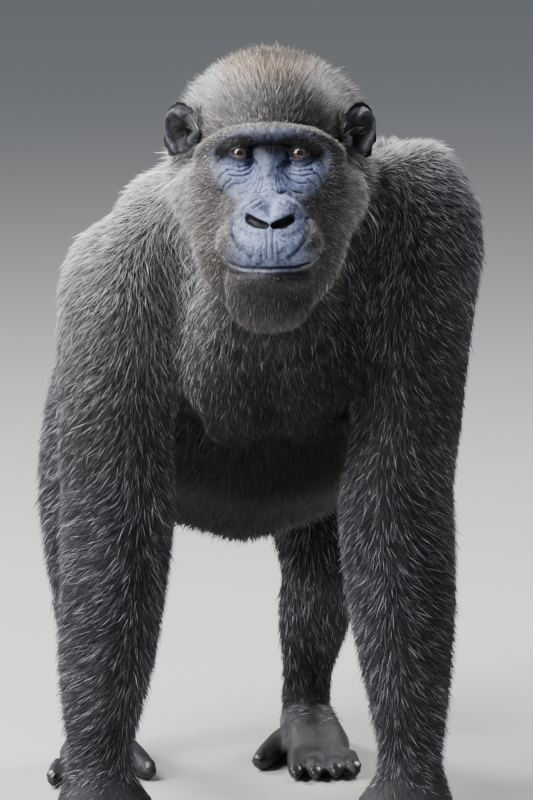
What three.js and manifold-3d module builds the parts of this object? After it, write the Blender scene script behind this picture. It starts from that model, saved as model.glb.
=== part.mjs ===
// A young male western lowland gorilla, life size, standing on its knuckles and looking ahead.
// Units are millimetres, +Z is up, the animal faces -Y and its left side is at +X.
// Every outline is drawn out to the tips of the coat. Neighbouring parts meet with a fine gap.

import * as THREE from "three";
import { mergeVertices } from "three/addons/utils/BufferGeometryUtils.js";
import Module from "manifold-3d";

const wasm = await Module();
wasm.setup();

// ---------------------------------------------------------------- driving sizes

const GAP = 0.4; // between two parts that meet
const CUT = 0.5; // thickness of a cut that parts one limb from the next

const SHOULDER_LEFT = 824; // the left shoulder carries more of the weight and stands higher
const SHOULDER_RIGHT = 775;
const ELBOW = 440;
const WRIST = 125;
const WRIST_LEFT_X = 177;
const WRIST_RIGHT_X = -205;

const HIP = 515;
const HIP_Y = 605;
const KNEE = 285;
const ANKLE = 85;
const PELVIS_X = -80; // the hind quarters stand a little towards the right side
const HIP_SPREAD = 84;
const KNEE_SPREAD = 150;
const KNEE_LEFT_Y = 475;
const KNEE_RIGHT_Y = 420;

const HEAD_X = 4;
const FACE_Y = -215;
const EYE_LINE = 906;
const HEAD_PITCH = THREE.MathUtils.degToRad(10); // the face is lifted this much above level
const EYE_RADIUS = 12.5;
const EYE_SPREAD = 35.4;
const EAR_HEIGHT = 33;
const EAR_WIDTH = 23;
const EAR_TURN = THREE.MathUtils.degToRad(34);
const MOUTH_LEVEL = -136;
const LIPS_MEET = -72; // this far ahead of the eyes
const MOUTH_SLOPE = THREE.MathUtils.degToRad(17); // the mouth line rises towards its corners
const JAW_BACK = 12;

const FINGER_PITCH = 27;
const FINGER = 13;
const TOE_PITCH = 24;
const TOE = 11.5;

// ---------------------------------------------------------------- finishes

const finish = (colour, roughness) =>
  new THREE.MeshStandardMaterial({ color: colour, roughness, metalness: 0 });

const coat = finish(0x35333a, 0.85);
const headCoat = finish(0x54483f, 0.85);
const bareSkin = finish(0x4b4e5e, 0.55);
const handSkin = finish(0x2b2a2e, 0.6);
const eyeball = finish(0x5a2f1c, 0.1);
const nailHorn = finish(0x1e1c1e, 0.35);

// ---------------------------------------------------------------- shape helpers

// The head's own frame: its origin is between the eyes, -Y leaves the face and +Z is up the face.
const HEAD = new THREE.Matrix4()
  .makeTranslation(HEAD_X, FACE_Y, EYE_LINE)
  .multiply(new THREE.Matrix4().makeRotationX(-HEAD_PITCH));
const BODY = new THREE.Matrix4();

function signedVolume(corner, index) {
  const [a, b, c] = [new THREE.Vector3(), new THREE.Vector3(), new THREE.Vector3()];
  let volume = 0;
  for (let i = 0; i < index.length; i += 3) {
    a.fromBufferAttribute(corner, index[i]);
    b.fromBufferAttribute(corner, index[i + 1]);
    c.fromBufferAttribute(corner, index[i + 2]);
    volume += a.dot(b.cross(c));
  }
  return volume;
}

// A geometry's corners alone, shared between its faces, which all point out.
function closed(geometry) {
  const bare = geometry.clone();
  bare.deleteAttribute("normal");
  bare.deleteAttribute("uv");
  const welded = mergeVertices(bare, 1e-3);
  const index = welded.index.array;
  if (signedVolume(welded.attributes.position, index) < 0) {
    index.reverse();
  }
  return welded;
}

// Every corner moves outwards, so the shape keeps its facets and gains a clearance.
function grown(geometry, clearance = GAP) {
  const larger = geometry.clone();
  larger.computeVertexNormals();
  const corner = larger.attributes.position;
  const normal = larger.attributes.normal;
  const point = new THREE.Vector3();
  const outward = new THREE.Vector3();
  for (let i = 0; i < corner.count; i++) {
    point.fromBufferAttribute(corner, i);
    outward.fromBufferAttribute(normal, i);
    point.addScaledVector(outward, clearance);
    corner.setXYZ(i, point.x, point.y, point.z);
  }
  larger.deleteAttribute("normal");
  return larger;
}

function solid(geometry) {
  const mesh = new wasm.Mesh({
    numProp: 3,
    vertProperties: geometry.attributes.position.array,
    triVerts: new Uint32Array(geometry.index.array),
  });
  return new wasm.Manifold(mesh);
}

const joined = (shapes) => shapes.map(solid).reduce((all, next) => all.add(next));
const clearanceOf = (shapes) => joined(shapes.map((shape) => grown(shape)));
const largest = (cut) => cut.decompose().sort((a, b) => b.volume() - a.volume())[0];

// A round form with half sizes across, front to back and up.
function ball(centre, half, frame = BODY, sides = 10) {
  const shape = new THREE.SphereGeometry(1, sides, Math.ceil(sides * 0.6));
  shape.rotateX(Math.PI / 2);
  shape.scale(...half);
  shape.translate(...centre);
  return closed(shape.applyMatrix4(frame));
}

// How wide a rounded form is at an angle from its pole; at the poles themselves it closes.
function roundEnd(polar, power) {
  const sine = Math.sin(polar);
  return sine < 1e-4 ? 0 : Math.pow(sine, power);
}

// A muscle runs through stations, each [x, y, z, half width, half depth], and rounds off at both ends.
// Its width lies nearest to the given axis. A low fullness gives a spindle, a high one a barrel.
const ACROSS = new THREE.Vector3(1, 0, 0);
const UP = new THREE.Vector3(0, 0, 1);
function muscle(stations, { frame = BODY, sides = 12, rings = 10, fullness = 0.65, axis = ACROSS } = {}) {
  const middle = new THREE.CatmullRomCurve3(stations.map(([x, y, z]) => new THREE.Vector3(x, y, z)));
  const girth = new THREE.CatmullRomCurve3(stations.map(([, , , w, d]) => new THREE.Vector3(w, d, 0)));
  const shape = new THREE.SphereGeometry(1, sides, rings);
  const corner = shape.attributes.position;
  for (let i = 0; i < corner.count; i++) {
    const polar = Math.acos(THREE.MathUtils.clamp(corner.getY(i), -1, 1));
    const turn = Math.atan2(corner.getZ(i), corner.getX(i));
    const along = (1 - Math.cos(polar)) / 2;
    const swell = roundEnd(polar, 1 - fullness);
    const centre = middle.getPoint(along);
    const size = girth.getPoint(along);
    const forward = middle.getTangent(along);
    const width = axis.clone().addScaledVector(forward, -axis.dot(forward)).normalize();
    const depth = forward.cross(width);
    centre.addScaledVector(width, Math.cos(turn) * swell * size.x);
    centre.addScaledVector(depth, Math.sin(turn) * swell * size.y);
    corner.setXYZ(i, centre.x, centre.y, centre.z);
  }
  return closed(shape.applyMatrix4(frame));
}

// A thin plate square to a direction, which parts what it crosses.
function plate(at, direction, [wide, long], frame = BODY) {
  const shape = new THREE.BoxGeometry(wide, long, CUT);
  const normal = new THREE.Vector3(...direction).normalize();
  shape.applyQuaternion(new THREE.Quaternion().setFromUnitVectors(UP, normal));
  shape.translate(...at);
  return solid(closed(shape.applyMatrix4(frame)));
}

// ---------------------------------------------------------------- the assembly

const gorilla = new THREE.Group();

function add(name, body, look) {
  const { numProp, vertProperties, triVerts } = body.getMesh();
  const corners = new Float32Array((vertProperties.length / numProp) * 3);
  for (let i = 0; i < corners.length / 3; i++) {
    corners.set(vertProperties.subarray(i * numProp, i * numProp + 3), i * 3);
  }
  const geometry = new THREE.BufferGeometry();
  geometry.setAttribute("position", new THREE.BufferAttribute(corners, 3));
  geometry.setIndex(new THREE.BufferAttribute(triVerts, 1));
  geometry.computeVertexNormals();
  const mesh = new THREE.Mesh(geometry, look);
  mesh.name = name;
  gorilla.add(mesh);
}

// Parts a limb at its joints and names its lengths from the top down.
const SCRAP = 1000;
function addLengths(limb, cuts, names, looks) {
  const parted = cuts.reduce((rest, cut) => rest.subtract(cut), limb);
  const pieces = parted.decompose().filter((piece) => piece.volume() > SCRAP);
  pieces.sort((a, b) => b.boundingBox().max[2] - a.boundingBox().max[2]);
  names.forEach((name, i) => add(name, pieces[i], looks[i]));
}

// Soles and knuckles are flat where they meet the floor.
const floor = solid(closed(new THREE.BoxGeometry(3000, 3000, 400).translate(0, 0, -200)));

// A nail is a shallow shield, set into the tip of its finger or toe with a fine gap.
function nail(centre, half) {
  const shape = new THREE.SphereGeometry(1, 6, 3);
  shape.rotateX(Math.PI / 2);
  shape.scale(...half);
  shape.translate(...centre);
  return closed(shape);
}

// ---------------------------------------------------------------- arms

// Stations run from the top of the shoulder down to the wrist.
const ARM_LEFT = [
  [158, 22, SHOULDER_LEFT + 58, 66, 78],
  [186, 14, SHOULDER_LEFT, 80, 96],
  [192, 8, SHOULDER_LEFT - 64, 77, 100],
  [188, 8, 685, 73, 94],
  [184, 16, 610, 70, 84],
  [171, 28, 525, 73, 80],
  [158, 32, ELBOW + 12, 77, 80],
  [161, 24, 395, 76, 78],
  [165, 8, 335, 72, 72],
  [170, -4, 270, 69, 66],
  [WRIST_LEFT_X - 2, -8, 190, 58, 54],
  [WRIST_LEFT_X, -10, WRIST, 50, 42],
  [WRIST_LEFT_X, -12, WRIST - 40, 48, 34],
];
const ARM_RIGHT = [
  [-108, 22, SHOULDER_RIGHT + 78, 54, 76],
  [-154, 12, SHOULDER_RIGHT + 5, 74, 94],
  [-178, 6, SHOULDER_RIGHT - 75, 86, 100],
  [-185, 8, 640, 81, 92],
  [-184, 20, 550, 78, 82],
  [-184, 30, 475, 78, 80],
  [-182, 30, ELBOW - 10, 75, 79],
  [-184, 18, 370, 71, 74],
  [-192, 2, 300, 70, 69],
  [-199, -6, 225, 65, 60],
  [WRIST_RIGHT_X + 2, -8, 170, 55, 50],
  [WRIST_RIGHT_X, -10, WRIST, 50, 42],
  [WRIST_RIGHT_X, -12, WRIST - 40, 48, 34],
];

// A hand stands on the backs of its middle finger bones, with the finger tips curled to the palm.
function hand(x, side) {
  const shapes = [
    muscle(
      [
        [x, -8, WRIST + 25, 44, 36],
        [x, -14, 100, 52, 34],
        [x, -24, 66, 60, 33],
        [x, -26, 34, 57, 28],
      ],
      { sides: 8, rings: 5, fullness: 0.65 },
    ),
  ];
  const nails = [];
  const reaches = [0, 7, 5, -4]; // forefinger to little finger
  reaches.forEach((reach, i) => {
    const across = x + side * (i - 1.5) * FINGER_PITCH;
    shapes.push(
      muscle(
        [
          [across, -24, 60, FINGER, FINGER + 2],
          [across, -52 - reach, 43, FINGER, FINGER + 1],
          [across, -78 - reach, 20, FINGER, FINGER],
        ],
        { sides: 5, rings: 3, fullness: 0.75 },
      ),
      muscle(
        [
          [across, -88 - reach, 17, FINGER, FINGER],
          [across, -58, 11.5, FINGER, FINGER],
          [across, -24, 14, FINGER, FINGER],
          [across, -3, 36, FINGER - 1, FINGER - 2],
        ],
        { sides: 5, rings: 4, fullness: 0.78 },
      ),
    );
    nails.push(nail([across, -3, 22], [6, 4.5, 5.5]));
  });
  const thumb = x - side * 56;
  shapes.push(
    muscle(
      [
        [x - side * 32, -12, 104, 18, 18],
        [thumb, -20, 78, 14, 14],
        [thumb - side * 4, -30, 48, 11, 11],
      ],
      { sides: 6, rings: 4, fullness: 0.7 },
    ),
  );
  nails.push(nail([thumb - side * 10, -28, 57], [4.5, 5.5, 7]));
  return { shapes, nails };
}

function buildArm(name, side, stations, wristX) {
  const limb = muscle(stations, { sides: 12, rings: 14, fullness: 0.76 });
  const [elbowX, elbowY] = stations[6];
  const fringe = ball([elbowX, elbowY + 46, ELBOW + 5], [52, 46, 70], BODY, 6); // long hair behind the elbow
  const { shapes, nails } = hand(wristX, side);
  const body = joined([limb, fringe, ...shapes]).subtract(floor).subtract(clearanceOf(nails));
  const cuts = [
    plate([elbowX, elbowY + 20, ELBOW + 4], [0, 0.22, 1], [320, 320]),
    plate([wristX, -10, WRIST + 8], [0, 0, 1], [200, 200]),
  ];
  addLengths(body, cuts, [`upper_arm_${name}`, `forearm_${name}`, `hand_${name}`], [coat, coat, handSkin]);
  nails.forEach((shape, i) => add(`finger_nail_${name}_${i + 1}`, solid(shape), nailHorn));
  return [limb];
}

// ---------------------------------------------------------------- hind legs

function foot(x, side, y) {
  const shapes = [
    muscle(
      [
        [x - side * 2, y + 196, 36, 30, 38],
        [x, y + 150, 36, 38, 40],
        [x + side * 6, y + 90, 34, 42, 37],
        [x + side * 14, y + 30, 27, 47, 30],
        [x + side * 18, y - 16, 18, 45, 21],
      ],
      { sides: 8, rings: 6, fullness: 0.72 },
    ),
    muscle(
      [
        [x - side * 14, y + 100, 28, 20, 28],
        [x - side * 44, y + 42, 18, 17, 20],
        [x - side * 64, y - 18, 12, 15, 14],
      ],
      { sides: 6, rings: 5, fullness: 0.72 },
    ), // the great toe stands off to the inner side
  ];
  const nails = [nail([x - side * 62, y - 10, 25], [8, 10, 3.5])];
  const reaches = [-82, -86, -77, -62];
  reaches.forEach((reach, i) => {
    const root = x + side * (-17 + i * TOE_PITCH);
    const tip = x + side * (-14 + i * (TOE_PITCH + 2));
    shapes.push(
      muscle(
        [
          [root, y + 16, 20, TOE, TOE + 3],
          [(root + tip) / 2, y - 32, 16, TOE, TOE + 3],
          [tip, y + reach, 9, TOE - 1.5, TOE - 2],
        ],
        { sides: 5, rings: 4, fullness: 0.76 },
      ),
    );
    nails.push(nail([tip, y + reach + 12, 20], [6.5, 7.5, 3]));
  });
  return { shapes, nails };
}

function buildLeg(name, side, kneeY) {
  const hip = PELVIS_X + side * HIP_SPREAD;
  const knee = PELVIS_X + side * KNEE_SPREAD;
  const heel = PELVIS_X + side * (KNEE_SPREAD - 18);
  const thigh = muscle(
    [
      [hip, HIP_Y + 20, HIP + 40, 88, 96],
      [hip + side * 22, HIP_Y - 10, HIP - 10, 102, 118],
      [(hip + knee) / 2 + side * 14, (HIP_Y + kneeY) / 2 + 14, 425, 92, 112],
      [knee - side * 5, kneeY + 42, 345, 78, 88],
      [knee, kneeY, KNEE, 66, 68],
      [knee, kneeY - 8, KNEE - 55, 58, 56],
    ],
    { sides: 12, rings: 10, fullness: 0.68 },
  );
  const shank = muscle(
    [
      [knee, kneeY - 5, KNEE + 45, 52, 54],
      [knee, kneeY + 20, KNEE - 30, 60, 62],
      [knee - side * 6, kneeY + 62, 205, 58, 62],
      [heel + side * 4, kneeY + 112, 135, 44, 47],
      [heel, kneeY + 136, ANKLE, 38, 42],
      [heel, kneeY + 142, 30, 36, 42],
    ],
    { sides: 10, rings: 8, fullness: 0.7 },
  );
  const { shapes, nails } = foot(heel, side, kneeY);
  const body = joined([thigh, shank, ...shapes]).subtract(floor).subtract(clearanceOf(nails));
  const cuts = [
    plate([knee, kneeY + 50, KNEE - 4], [0, 0.08, 1], [280, 280]),
    plate([heel, kneeY + 138, ANKLE + 6], [0, 0.1, 1], [240, 240]),
  ];
  addLengths(body, cuts, [`thigh_${name}`, `shank_${name}`, `foot_${name}`], [coat, coat, handSkin]);
  nails.forEach((shape, i) => add(`toe_nail_${name}_${i + 1}`, solid(shape), nailHorn));
  return [thigh, shank];
}

// ---------------------------------------------------------------- head, in its own frame

const skullShapes = [
  ball([0, 74, 30], [92, 86, 97], HEAD, 12), // crown and temples
  ball([3, 122, 30], [121, 86, 98], HEAD), // nape and the hair behind the ears
  ball([0, 42, -95], [100, 76, 107], HEAD), // jaws
  ball([76, 64, -42], [60, 66, 53], HEAD, 8), // ruff
  ball([-76, 64, -42], [60, 66, 53], HEAD, 8),
];

function faceShapes() {
  const brow = [-1, -0.6, 0, 0.6, 1].map((share) => {
    const bend = share * share;
    return [share * 76, -15 + 32 * bend, 28 - 22 * bend * bend, 15 - 2 * bend, 14];
  });
  const muzzle = [
    [0, 10, -62, 50, 36],
    [0, -30, -86, 56, 42],
    [0, -58, -108, 53, 34],
    [0, -66, -120, 42, 24],
  ];
  const chin = [
    [0, -24, -140, 54, 48],
    [0, -26, -170, 42, 36],
    [0, -24, -208, 18, 16],
  ];
  const bridge = [
    [0, 2, 6, 14, 14],
    [0, -16, -22, 16, 17],
    [0, -36, -50, 20, 18],
    [0, -56, -78, 24, 20],
  ];
  const shapes = [
    muscle(brow, { frame: HEAD, sides: 7, rings: 8, fullness: 0.62, axis: UP }),
    muscle(muzzle, { frame: HEAD, sides: 10, rings: 6, fullness: 0.62 }),
    muscle(chin, { frame: HEAD, sides: 8, rings: 6, fullness: 0.55 }),
    muscle(bridge, { frame: HEAD, sides: 6, rings: 5, fullness: 0.65 }),
    ball([0, -30, -110], [63, 62, 31], HEAD), // upper lip
    ball([0, -30, -151], [53, 53, 26], HEAD), // lower lip
    ball([0, -60, -80], [22, 24, 20], HEAD, 6), // tip of the nose
  ];
  for (const side of [-1, 1]) {
    shapes.push(
      ball([side * 60, 28, -40], [35, 35, 51], HEAD, 8), // cheek
      ball([side * 22, -56, -82], [22, 26, 30], HEAD, 8), // wing of the nose
      ball([side * EYE_SPREAD, 2, 0], [21, 14, 14], HEAD, 6), // lids
    );
  }
  return shapes;
}

// An ear is a shallow dish on a short root, turned forwards and out.
function ear(side) {
  const place = HEAD.clone()
    .multiply(new THREE.Matrix4().makeTranslation(side * 105, 72, 29))
    .multiply(new THREE.Matrix4().makeRotationZ(side * EAR_TURN));
  const dish = ball([0, 0, 0], [EAR_WIDTH, 9, EAR_HEIGHT], place, 8);
  const root = ball([-side * 15, 4, -2], [14, 12, 22], place, 6);
  const bowl = ball([side, -13, 0], [EAR_WIDTH - 5, 14, EAR_HEIGHT - 6], place, 8);
  return joined([dish, root]).subtract(solid(bowl));
}

function buildHead() {
  const eyes = [-1, 1].map((side) => {
    const shape = new THREE.SphereGeometry(EYE_RADIUS, 10, 7);
    const eye = new THREE.Mesh(shape, eyeball);
    eye.name = side > 0 ? "eye_left" : "eye_right";
    eye.position.set(side * EYE_SPREAD, 0, 0).applyMatrix4(HEAD);
    gorilla.add(eye);
    return closed(shape.clone().translate(...eye.position));
  });
  const openings = [-1, 1].map((side) =>
    ball([side * (EYE_SPREAD - 1.5), -13, 0], [14, 12, 8], HEAD, 6),
  );
  // the lower jaw is parted from the head along the mouth and behind the chin
  const rise = (JAW_BACK - LIPS_MEET) * Math.tan(MOUTH_SLOPE);
  const mouthNormal = [0, -Math.sin(MOUTH_SLOPE), Math.cos(MOUTH_SLOPE)];
  const reach = Math.hypot(JAW_BACK - LIPS_MEET, rise);
  const mouth = plate([0, LIPS_MEET, MOUTH_LEVEL], mouthNormal, [260, 2 * reach], HEAD);
  const behindChin = plate([0, JAW_BACK, MOUTH_LEVEL + rise - 70], [0, 1, 0], [260, 140.2], HEAD);
  const whole = joined([...skullShapes, ...faceShapes()])
    .subtract(clearanceOf(eyes))
    .subtract(joined(openings));
  const parted = whole.subtract(mouth.add(behindChin)).decompose();
  parted.sort((a, b) => b.volume() - a.volume());
  add("head", parted[0], headCoat);
  add("jaw", parted[1], headCoat);
}

// ---------------------------------------------------------------- trunk and neck

const trunkShapes = [
  muscle(
    [
      [5, -95, 640, 70, 80],
      [5, -25, 665, 130, 165],
      [2, 90, 688, 192, 192],
      [-12, 225, 634, 216, 238],
      [-32, 365, 574, 224, 258],
      [-55, 500, 562, 204, 216],
      [PELVIS_X + 3, 620, 566, 172, 160],
      [PELVIS_X, 700, 552, 132, 118],
    ],
    { sides: 12, rings: 11, fullness: 0.76 },
  ),
  ball([118, 84, 806], [98, 124, 76]), // shoulder blades
  ball([-96, 84, 778], [98, 120, 76]),
  ball([128, 124, 676], [92, 112, 124], BODY, 8), // the muscles behind the arm pits
  ball([-122, 124, 666], [92, 112, 124], BODY, 8),
  ball([48, -34, 625], [76, 54, 112], BODY, 8), // breast
  ball([-40, -34, 620], [76, 54, 112], BODY, 8),
];

const neckShapes = [
  muscle(
    [
      [HEAD_X, -150, 862, 105, 88],
      [HEAD_X, -70, 850, 118, 92],
      [HEAD_X, 20, 828, 138, 84],
      [HEAD_X, 110, 790, 130, 78],
    ],
    { sides: 10, rings: 7, fullness: 0.7 },
  ),
  muscle(
    [
      [HEAD_X, -190, 792, 52, 50],
      [HEAD_X, -146, 758, 74, 70],
      [HEAD_X, -90, 716, 92, 80],
      [HEAD_X, -20, 672, 104, 80],
    ],
    { sides: 8, rings: 6, fullness: 0.68 },
  ), // throat
];

function buildTrunk(limbs) {
  const skullClearance = clearanceOf(skullShapes);
  const limbClearance = clearanceOf(limbs);
  for (const side of [-1, 1]) {
    const name = side > 0 ? "ear_left" : "ear_right";
    add(name, largest(ear(side).subtract(skullClearance)), bareSkin);
  }
  add("neck", largest(joined(neckShapes).subtract(skullClearance).subtract(limbClearance)), coat);
  const trunk = joined(trunkShapes)
    .subtract(clearanceOf(neckShapes))
    .subtract(skullClearance)
    .subtract(limbClearance);
  const cuts = [
    plate([0, 245, 650], [0, 1, 0.12], [900, 900]),
    plate([0, 470, 600], [0, 1, -0.1], [900, 900]),
  ];
  const lengths = cuts.reduce((rest, cut) => rest.subtract(cut), largest(trunk)).decompose();
  const pieces = lengths.filter((piece) => piece.volume() > SCRAP * 100);
  pieces.sort((a, b) => a.boundingBox().min[1] - b.boundingBox().min[1]);
  ["chest", "belly", "rump"].forEach((name, i) => add(name, pieces[i], coat));
}

// ---------------------------------------------------------------- build

buildHead();
buildTrunk([
  ...buildArm("left", 1, ARM_LEFT, WRIST_LEFT_X),
  ...buildArm("right", -1, ARM_RIGHT, WRIST_RIGHT_X),
  ...buildLeg("left", 1, KNEE_LEFT_Y),
  ...buildLeg("right", -1, KNEE_RIGHT_Y),
]);

// The origin lies on the floor under the middle of the animal's box.
const box = new THREE.Box3().setFromObject(gorilla);
gorilla.position.set(-(box.min.x + box.max.x) / 2, -(box.min.y + box.max.y) / 2, 0);

export default gorilla;
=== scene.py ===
# %% [markdown]
# # A young gorilla, from its solid shape to its coat
# The frame holds the animal as faceted solids that are drawn out to the tips of its hair. This script
# puts a skin inside them, sculpts the face, and grows a coat of solid tufts out to the same outline.
# All sizes are worked out from the frame, so the first step opens it.

# %% Open the frame
import math

import bmesh
import bpy
import numpy as np
from mathutils import Matrix, Vector
from mathutils.bvhtree import BVHTree


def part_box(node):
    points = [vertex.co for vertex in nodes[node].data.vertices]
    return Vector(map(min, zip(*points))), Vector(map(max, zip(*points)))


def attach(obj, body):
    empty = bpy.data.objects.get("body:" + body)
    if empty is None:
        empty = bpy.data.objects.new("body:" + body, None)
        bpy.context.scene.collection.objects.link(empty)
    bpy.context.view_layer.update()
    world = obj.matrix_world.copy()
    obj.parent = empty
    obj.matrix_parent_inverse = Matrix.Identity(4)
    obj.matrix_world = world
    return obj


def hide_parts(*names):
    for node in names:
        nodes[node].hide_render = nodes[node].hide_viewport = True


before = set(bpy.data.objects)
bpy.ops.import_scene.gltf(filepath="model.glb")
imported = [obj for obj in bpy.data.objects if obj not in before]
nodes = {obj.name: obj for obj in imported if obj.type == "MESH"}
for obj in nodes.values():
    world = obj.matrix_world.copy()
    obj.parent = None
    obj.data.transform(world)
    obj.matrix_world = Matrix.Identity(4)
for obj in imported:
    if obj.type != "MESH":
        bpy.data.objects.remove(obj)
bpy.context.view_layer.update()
print(len(nodes), "solids in the frame")

# %% [markdown]
# Everything on the face is placed from a point between the eyes, in millimetres: across, back into the
# head, and up the face. The face is lifted ten degrees, so this small frame is tilted by that much.
# The trunk and limbs use a second set of millimetres, measured from the floor.

# %% The head's own frame
MM = 0.001
FACE_LIFT = math.radians(10)
EYE_LINE = np.array([4.0, -215.0, 906.0])


def middle(node):
    low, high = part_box(node)
    return (np.array(low) + np.array(high)) / 2


eyes = {side: middle(f"eye_{side}") for side in ("left", "right")}
between_eyes = (eyes["left"] + eyes["right"]) / 2
cosine, sine = math.cos(FACE_LIFT), math.sin(FACE_LIFT)
head_axes = np.array([[1, 0, 0], [0, cosine, -sine], [0, sine, cosine]])


def in_head(points):
    return (points - between_eyes) @ head_axes.T / MM


def from_head(points):
    return points * MM @ head_axes + between_eyes


def in_body(points):
    return (points - between_eyes) / MM + EYE_LINE


eye_spread = in_head(eyes["left"])[0]
print("the eyes are", round(2 * eye_spread, 1), "mm apart")

# %% [markdown]
# Sculpting by formula means moving many thousands of points at once, so the points are held as arrays.
# These helpers read a mesh into arrays and write it back, find which way each point faces, and average
# each point with its neighbours, which is what a smoothing brush does.


# %% Meshes, objects and arrays
def mesh_of(bm, name):
    mesh = bpy.data.meshes.new(name)
    bm.to_mesh(mesh)
    bm.free()
    return mesh


def add_object(name, mesh):
    thing = bpy.data.objects.new(name, mesh)
    bpy.context.scene.collection.objects.link(thing)
    return thing


def points_of(mesh):
    flat = np.empty(len(mesh.vertices) * 3)
    mesh.vertices.foreach_get("co", flat)
    return flat.reshape(-1, 3)


def put_points(mesh, points):
    mesh.vertices.foreach_set("co", points.ravel())
    mesh.update()


def edges_of(mesh):
    flat = np.empty(len(mesh.edges) * 2, dtype=np.int64)
    mesh.edges.foreach_get("vertices", flat)
    return flat.reshape(-1, 2)


def triangles_of(mesh):
    mesh.calc_loop_triangles()
    flat = np.empty(len(mesh.loop_triangles) * 3, dtype=np.int64)
    mesh.loop_triangles.foreach_get("vertices", flat)
    return flat.reshape(-1, 3)


print(len(points_of(nodes["head"].data)), "points in the head's solid")


# %% Directions and smoothing
def unit(vectors):
    return vectors / np.maximum(np.linalg.norm(vectors, axis=-1, keepdims=True), 1e-12)


def facing(points, triangles):
    """The outward direction at every point."""
    a, b, c = (points[triangles[:, k]] for k in range(3))
    across = np.cross(b - a, c - a)
    total = np.zeros_like(points)
    for k in range(3):
        for axis in range(3):
            total[:, axis] += np.bincount(triangles[:, k], across[:, axis], len(points))
    return unit(total)


def neighbour_mean(values, edges):
    count = np.bincount(edges.ravel(), minlength=len(values))
    total = np.zeros_like(values)
    for start, end in (edges.T, edges.T[::-1]):
        for axis in range(values.shape[1]):
            total[:, axis] += np.bincount(start, values[end, axis], len(values))
    return total / np.maximum(count, 1)[:, None]


def relax(points, edges, rounds, share):
    """Moves each point towards its neighbours. A share of 0 keeps a point where it is."""
    for _ in range(rounds):
        points = points + (neighbour_mean(points, edges) - points) * share[:, None]
    return points


def evened(values, edges, rounds, share):
    """The same for one number at every point."""
    return relax(values[:, None], edges, rounds, np.full(len(values), share))[:, 0]


# %% [markdown]
# Three more helpers turn measures into shapes: an easing curve that fades an effect in or out, bumps and
# distances along drawn lines, and a soft noise that is the same each run.


# %% Curves, lines and noise
def ease(low, high, value):
    """0 at the low end, 1 at the high end, and a smooth rise between them."""
    t = np.clip((value - low) / (high - low), 0, 1)
    return t * t * (3 - 2 * t)


def hump(distance, width):
    """1 on the line, falling off softly over this width."""
    return np.exp(-((distance / width) ** 2))


def line_distance(flat, line):
    """How far points of a flat drawing are from a line of straight pieces."""
    nearest = np.full(len(flat), 1e9)
    for a, b in zip(line[:-1], line[1:]):
        a, b = np.array(a, float), np.array(b, float)
        t = np.clip((flat - a) @ (b - a) / ((b - a) @ (b - a)), 0, 1)
        nearest = np.minimum(nearest, np.linalg.norm(flat - a - t[:, None] * (b - a), axis=1))
    return nearest


def noise(points, size, seed=0):
    """Soft lumps of about this size, from -1 to 1."""
    scaled = points / size
    cell = np.floor(scaled).astype(np.int64)
    part = scaled - cell
    part = part * part * (3 - 2 * part)
    total = np.zeros(len(points))
    for corner in np.ndindex(2, 2, 2):
        at = cell + np.array(corner)
        mixed = at[:, 0] * 73856093 ^ at[:, 1] * 19349663 ^ at[:, 2] * 83492791 ^ (seed + 1) * 40503
        mixed = (mixed * 1103515245 + 12345) & 0x7FFFFFFF
        mixed = ((mixed >> 9) * 69069 + 1) & 0xFFFFFF
        weight = np.prod(np.where(corner, part, 1 - part), axis=1)
        total += weight * (mixed / 0x7FFFFF - 1)
    return total


sample = noise(np.linspace(0, 90, 300)[:, None] * np.ones(3), 7)
print("noise runs from", sample.min().round(2), "to", sample.max().round(2))

# %% [markdown]
# ## The head as blended forms
# A sculptor blocks a head in with a few soft volumes. Here each volume is an ellipsoid or a tapering
# tube, and a distance formula blends them like wet clay. Points are pulled onto the blended surface, so
# the form stays the same however finely the mesh is divided later.


# %% Distances to soft volumes
def ellipsoid(p, centre, half):
    """How far points are outside an ellipsoid, close to its surface."""
    q = (p - np.array(centre)) / half
    length = np.linalg.norm(q, axis=1)
    slope = np.linalg.norm(q / half, axis=1)
    return length * (length - 1) / np.maximum(slope, 1e-9)


def tube(p, stations):
    """Stations are (across, back, up, radius)."""
    nearest = np.full(len(p), 1e9)
    for (*a, ra), (*b, rb) in zip(stations[:-1], stations[1:]):
        a, b = np.array(a, float), np.array(b, float)
        t = np.clip((p - a) @ (b - a) / ((b - a) @ (b - a)), 0, 1)
        gap = np.linalg.norm(p - a - t[:, None] * (b - a), axis=1) - (ra + (rb - ra) * t)
        nearest = np.minimum(nearest, gap)
    return nearest


def blend_in(a, b, softness):
    """The union of two distances, with a soft crease of this size."""
    h = np.maximum(softness - np.abs(a - b), 0) / softness
    return np.minimum(a, b) - h * h * softness / 4


def both_sides(volume):
    (x, y, z), half, softness, hair = volume
    return [volume, ((-x, y, z), half, softness, hair)]


# %% [markdown]
# The skull, cheeks, muzzle, chin and nose pad are ellipsoids. Brow, bridge, nose wings and nostrils are
# tubes, because they follow curves. Hair is deep on the skull and absent on the face.

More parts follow.
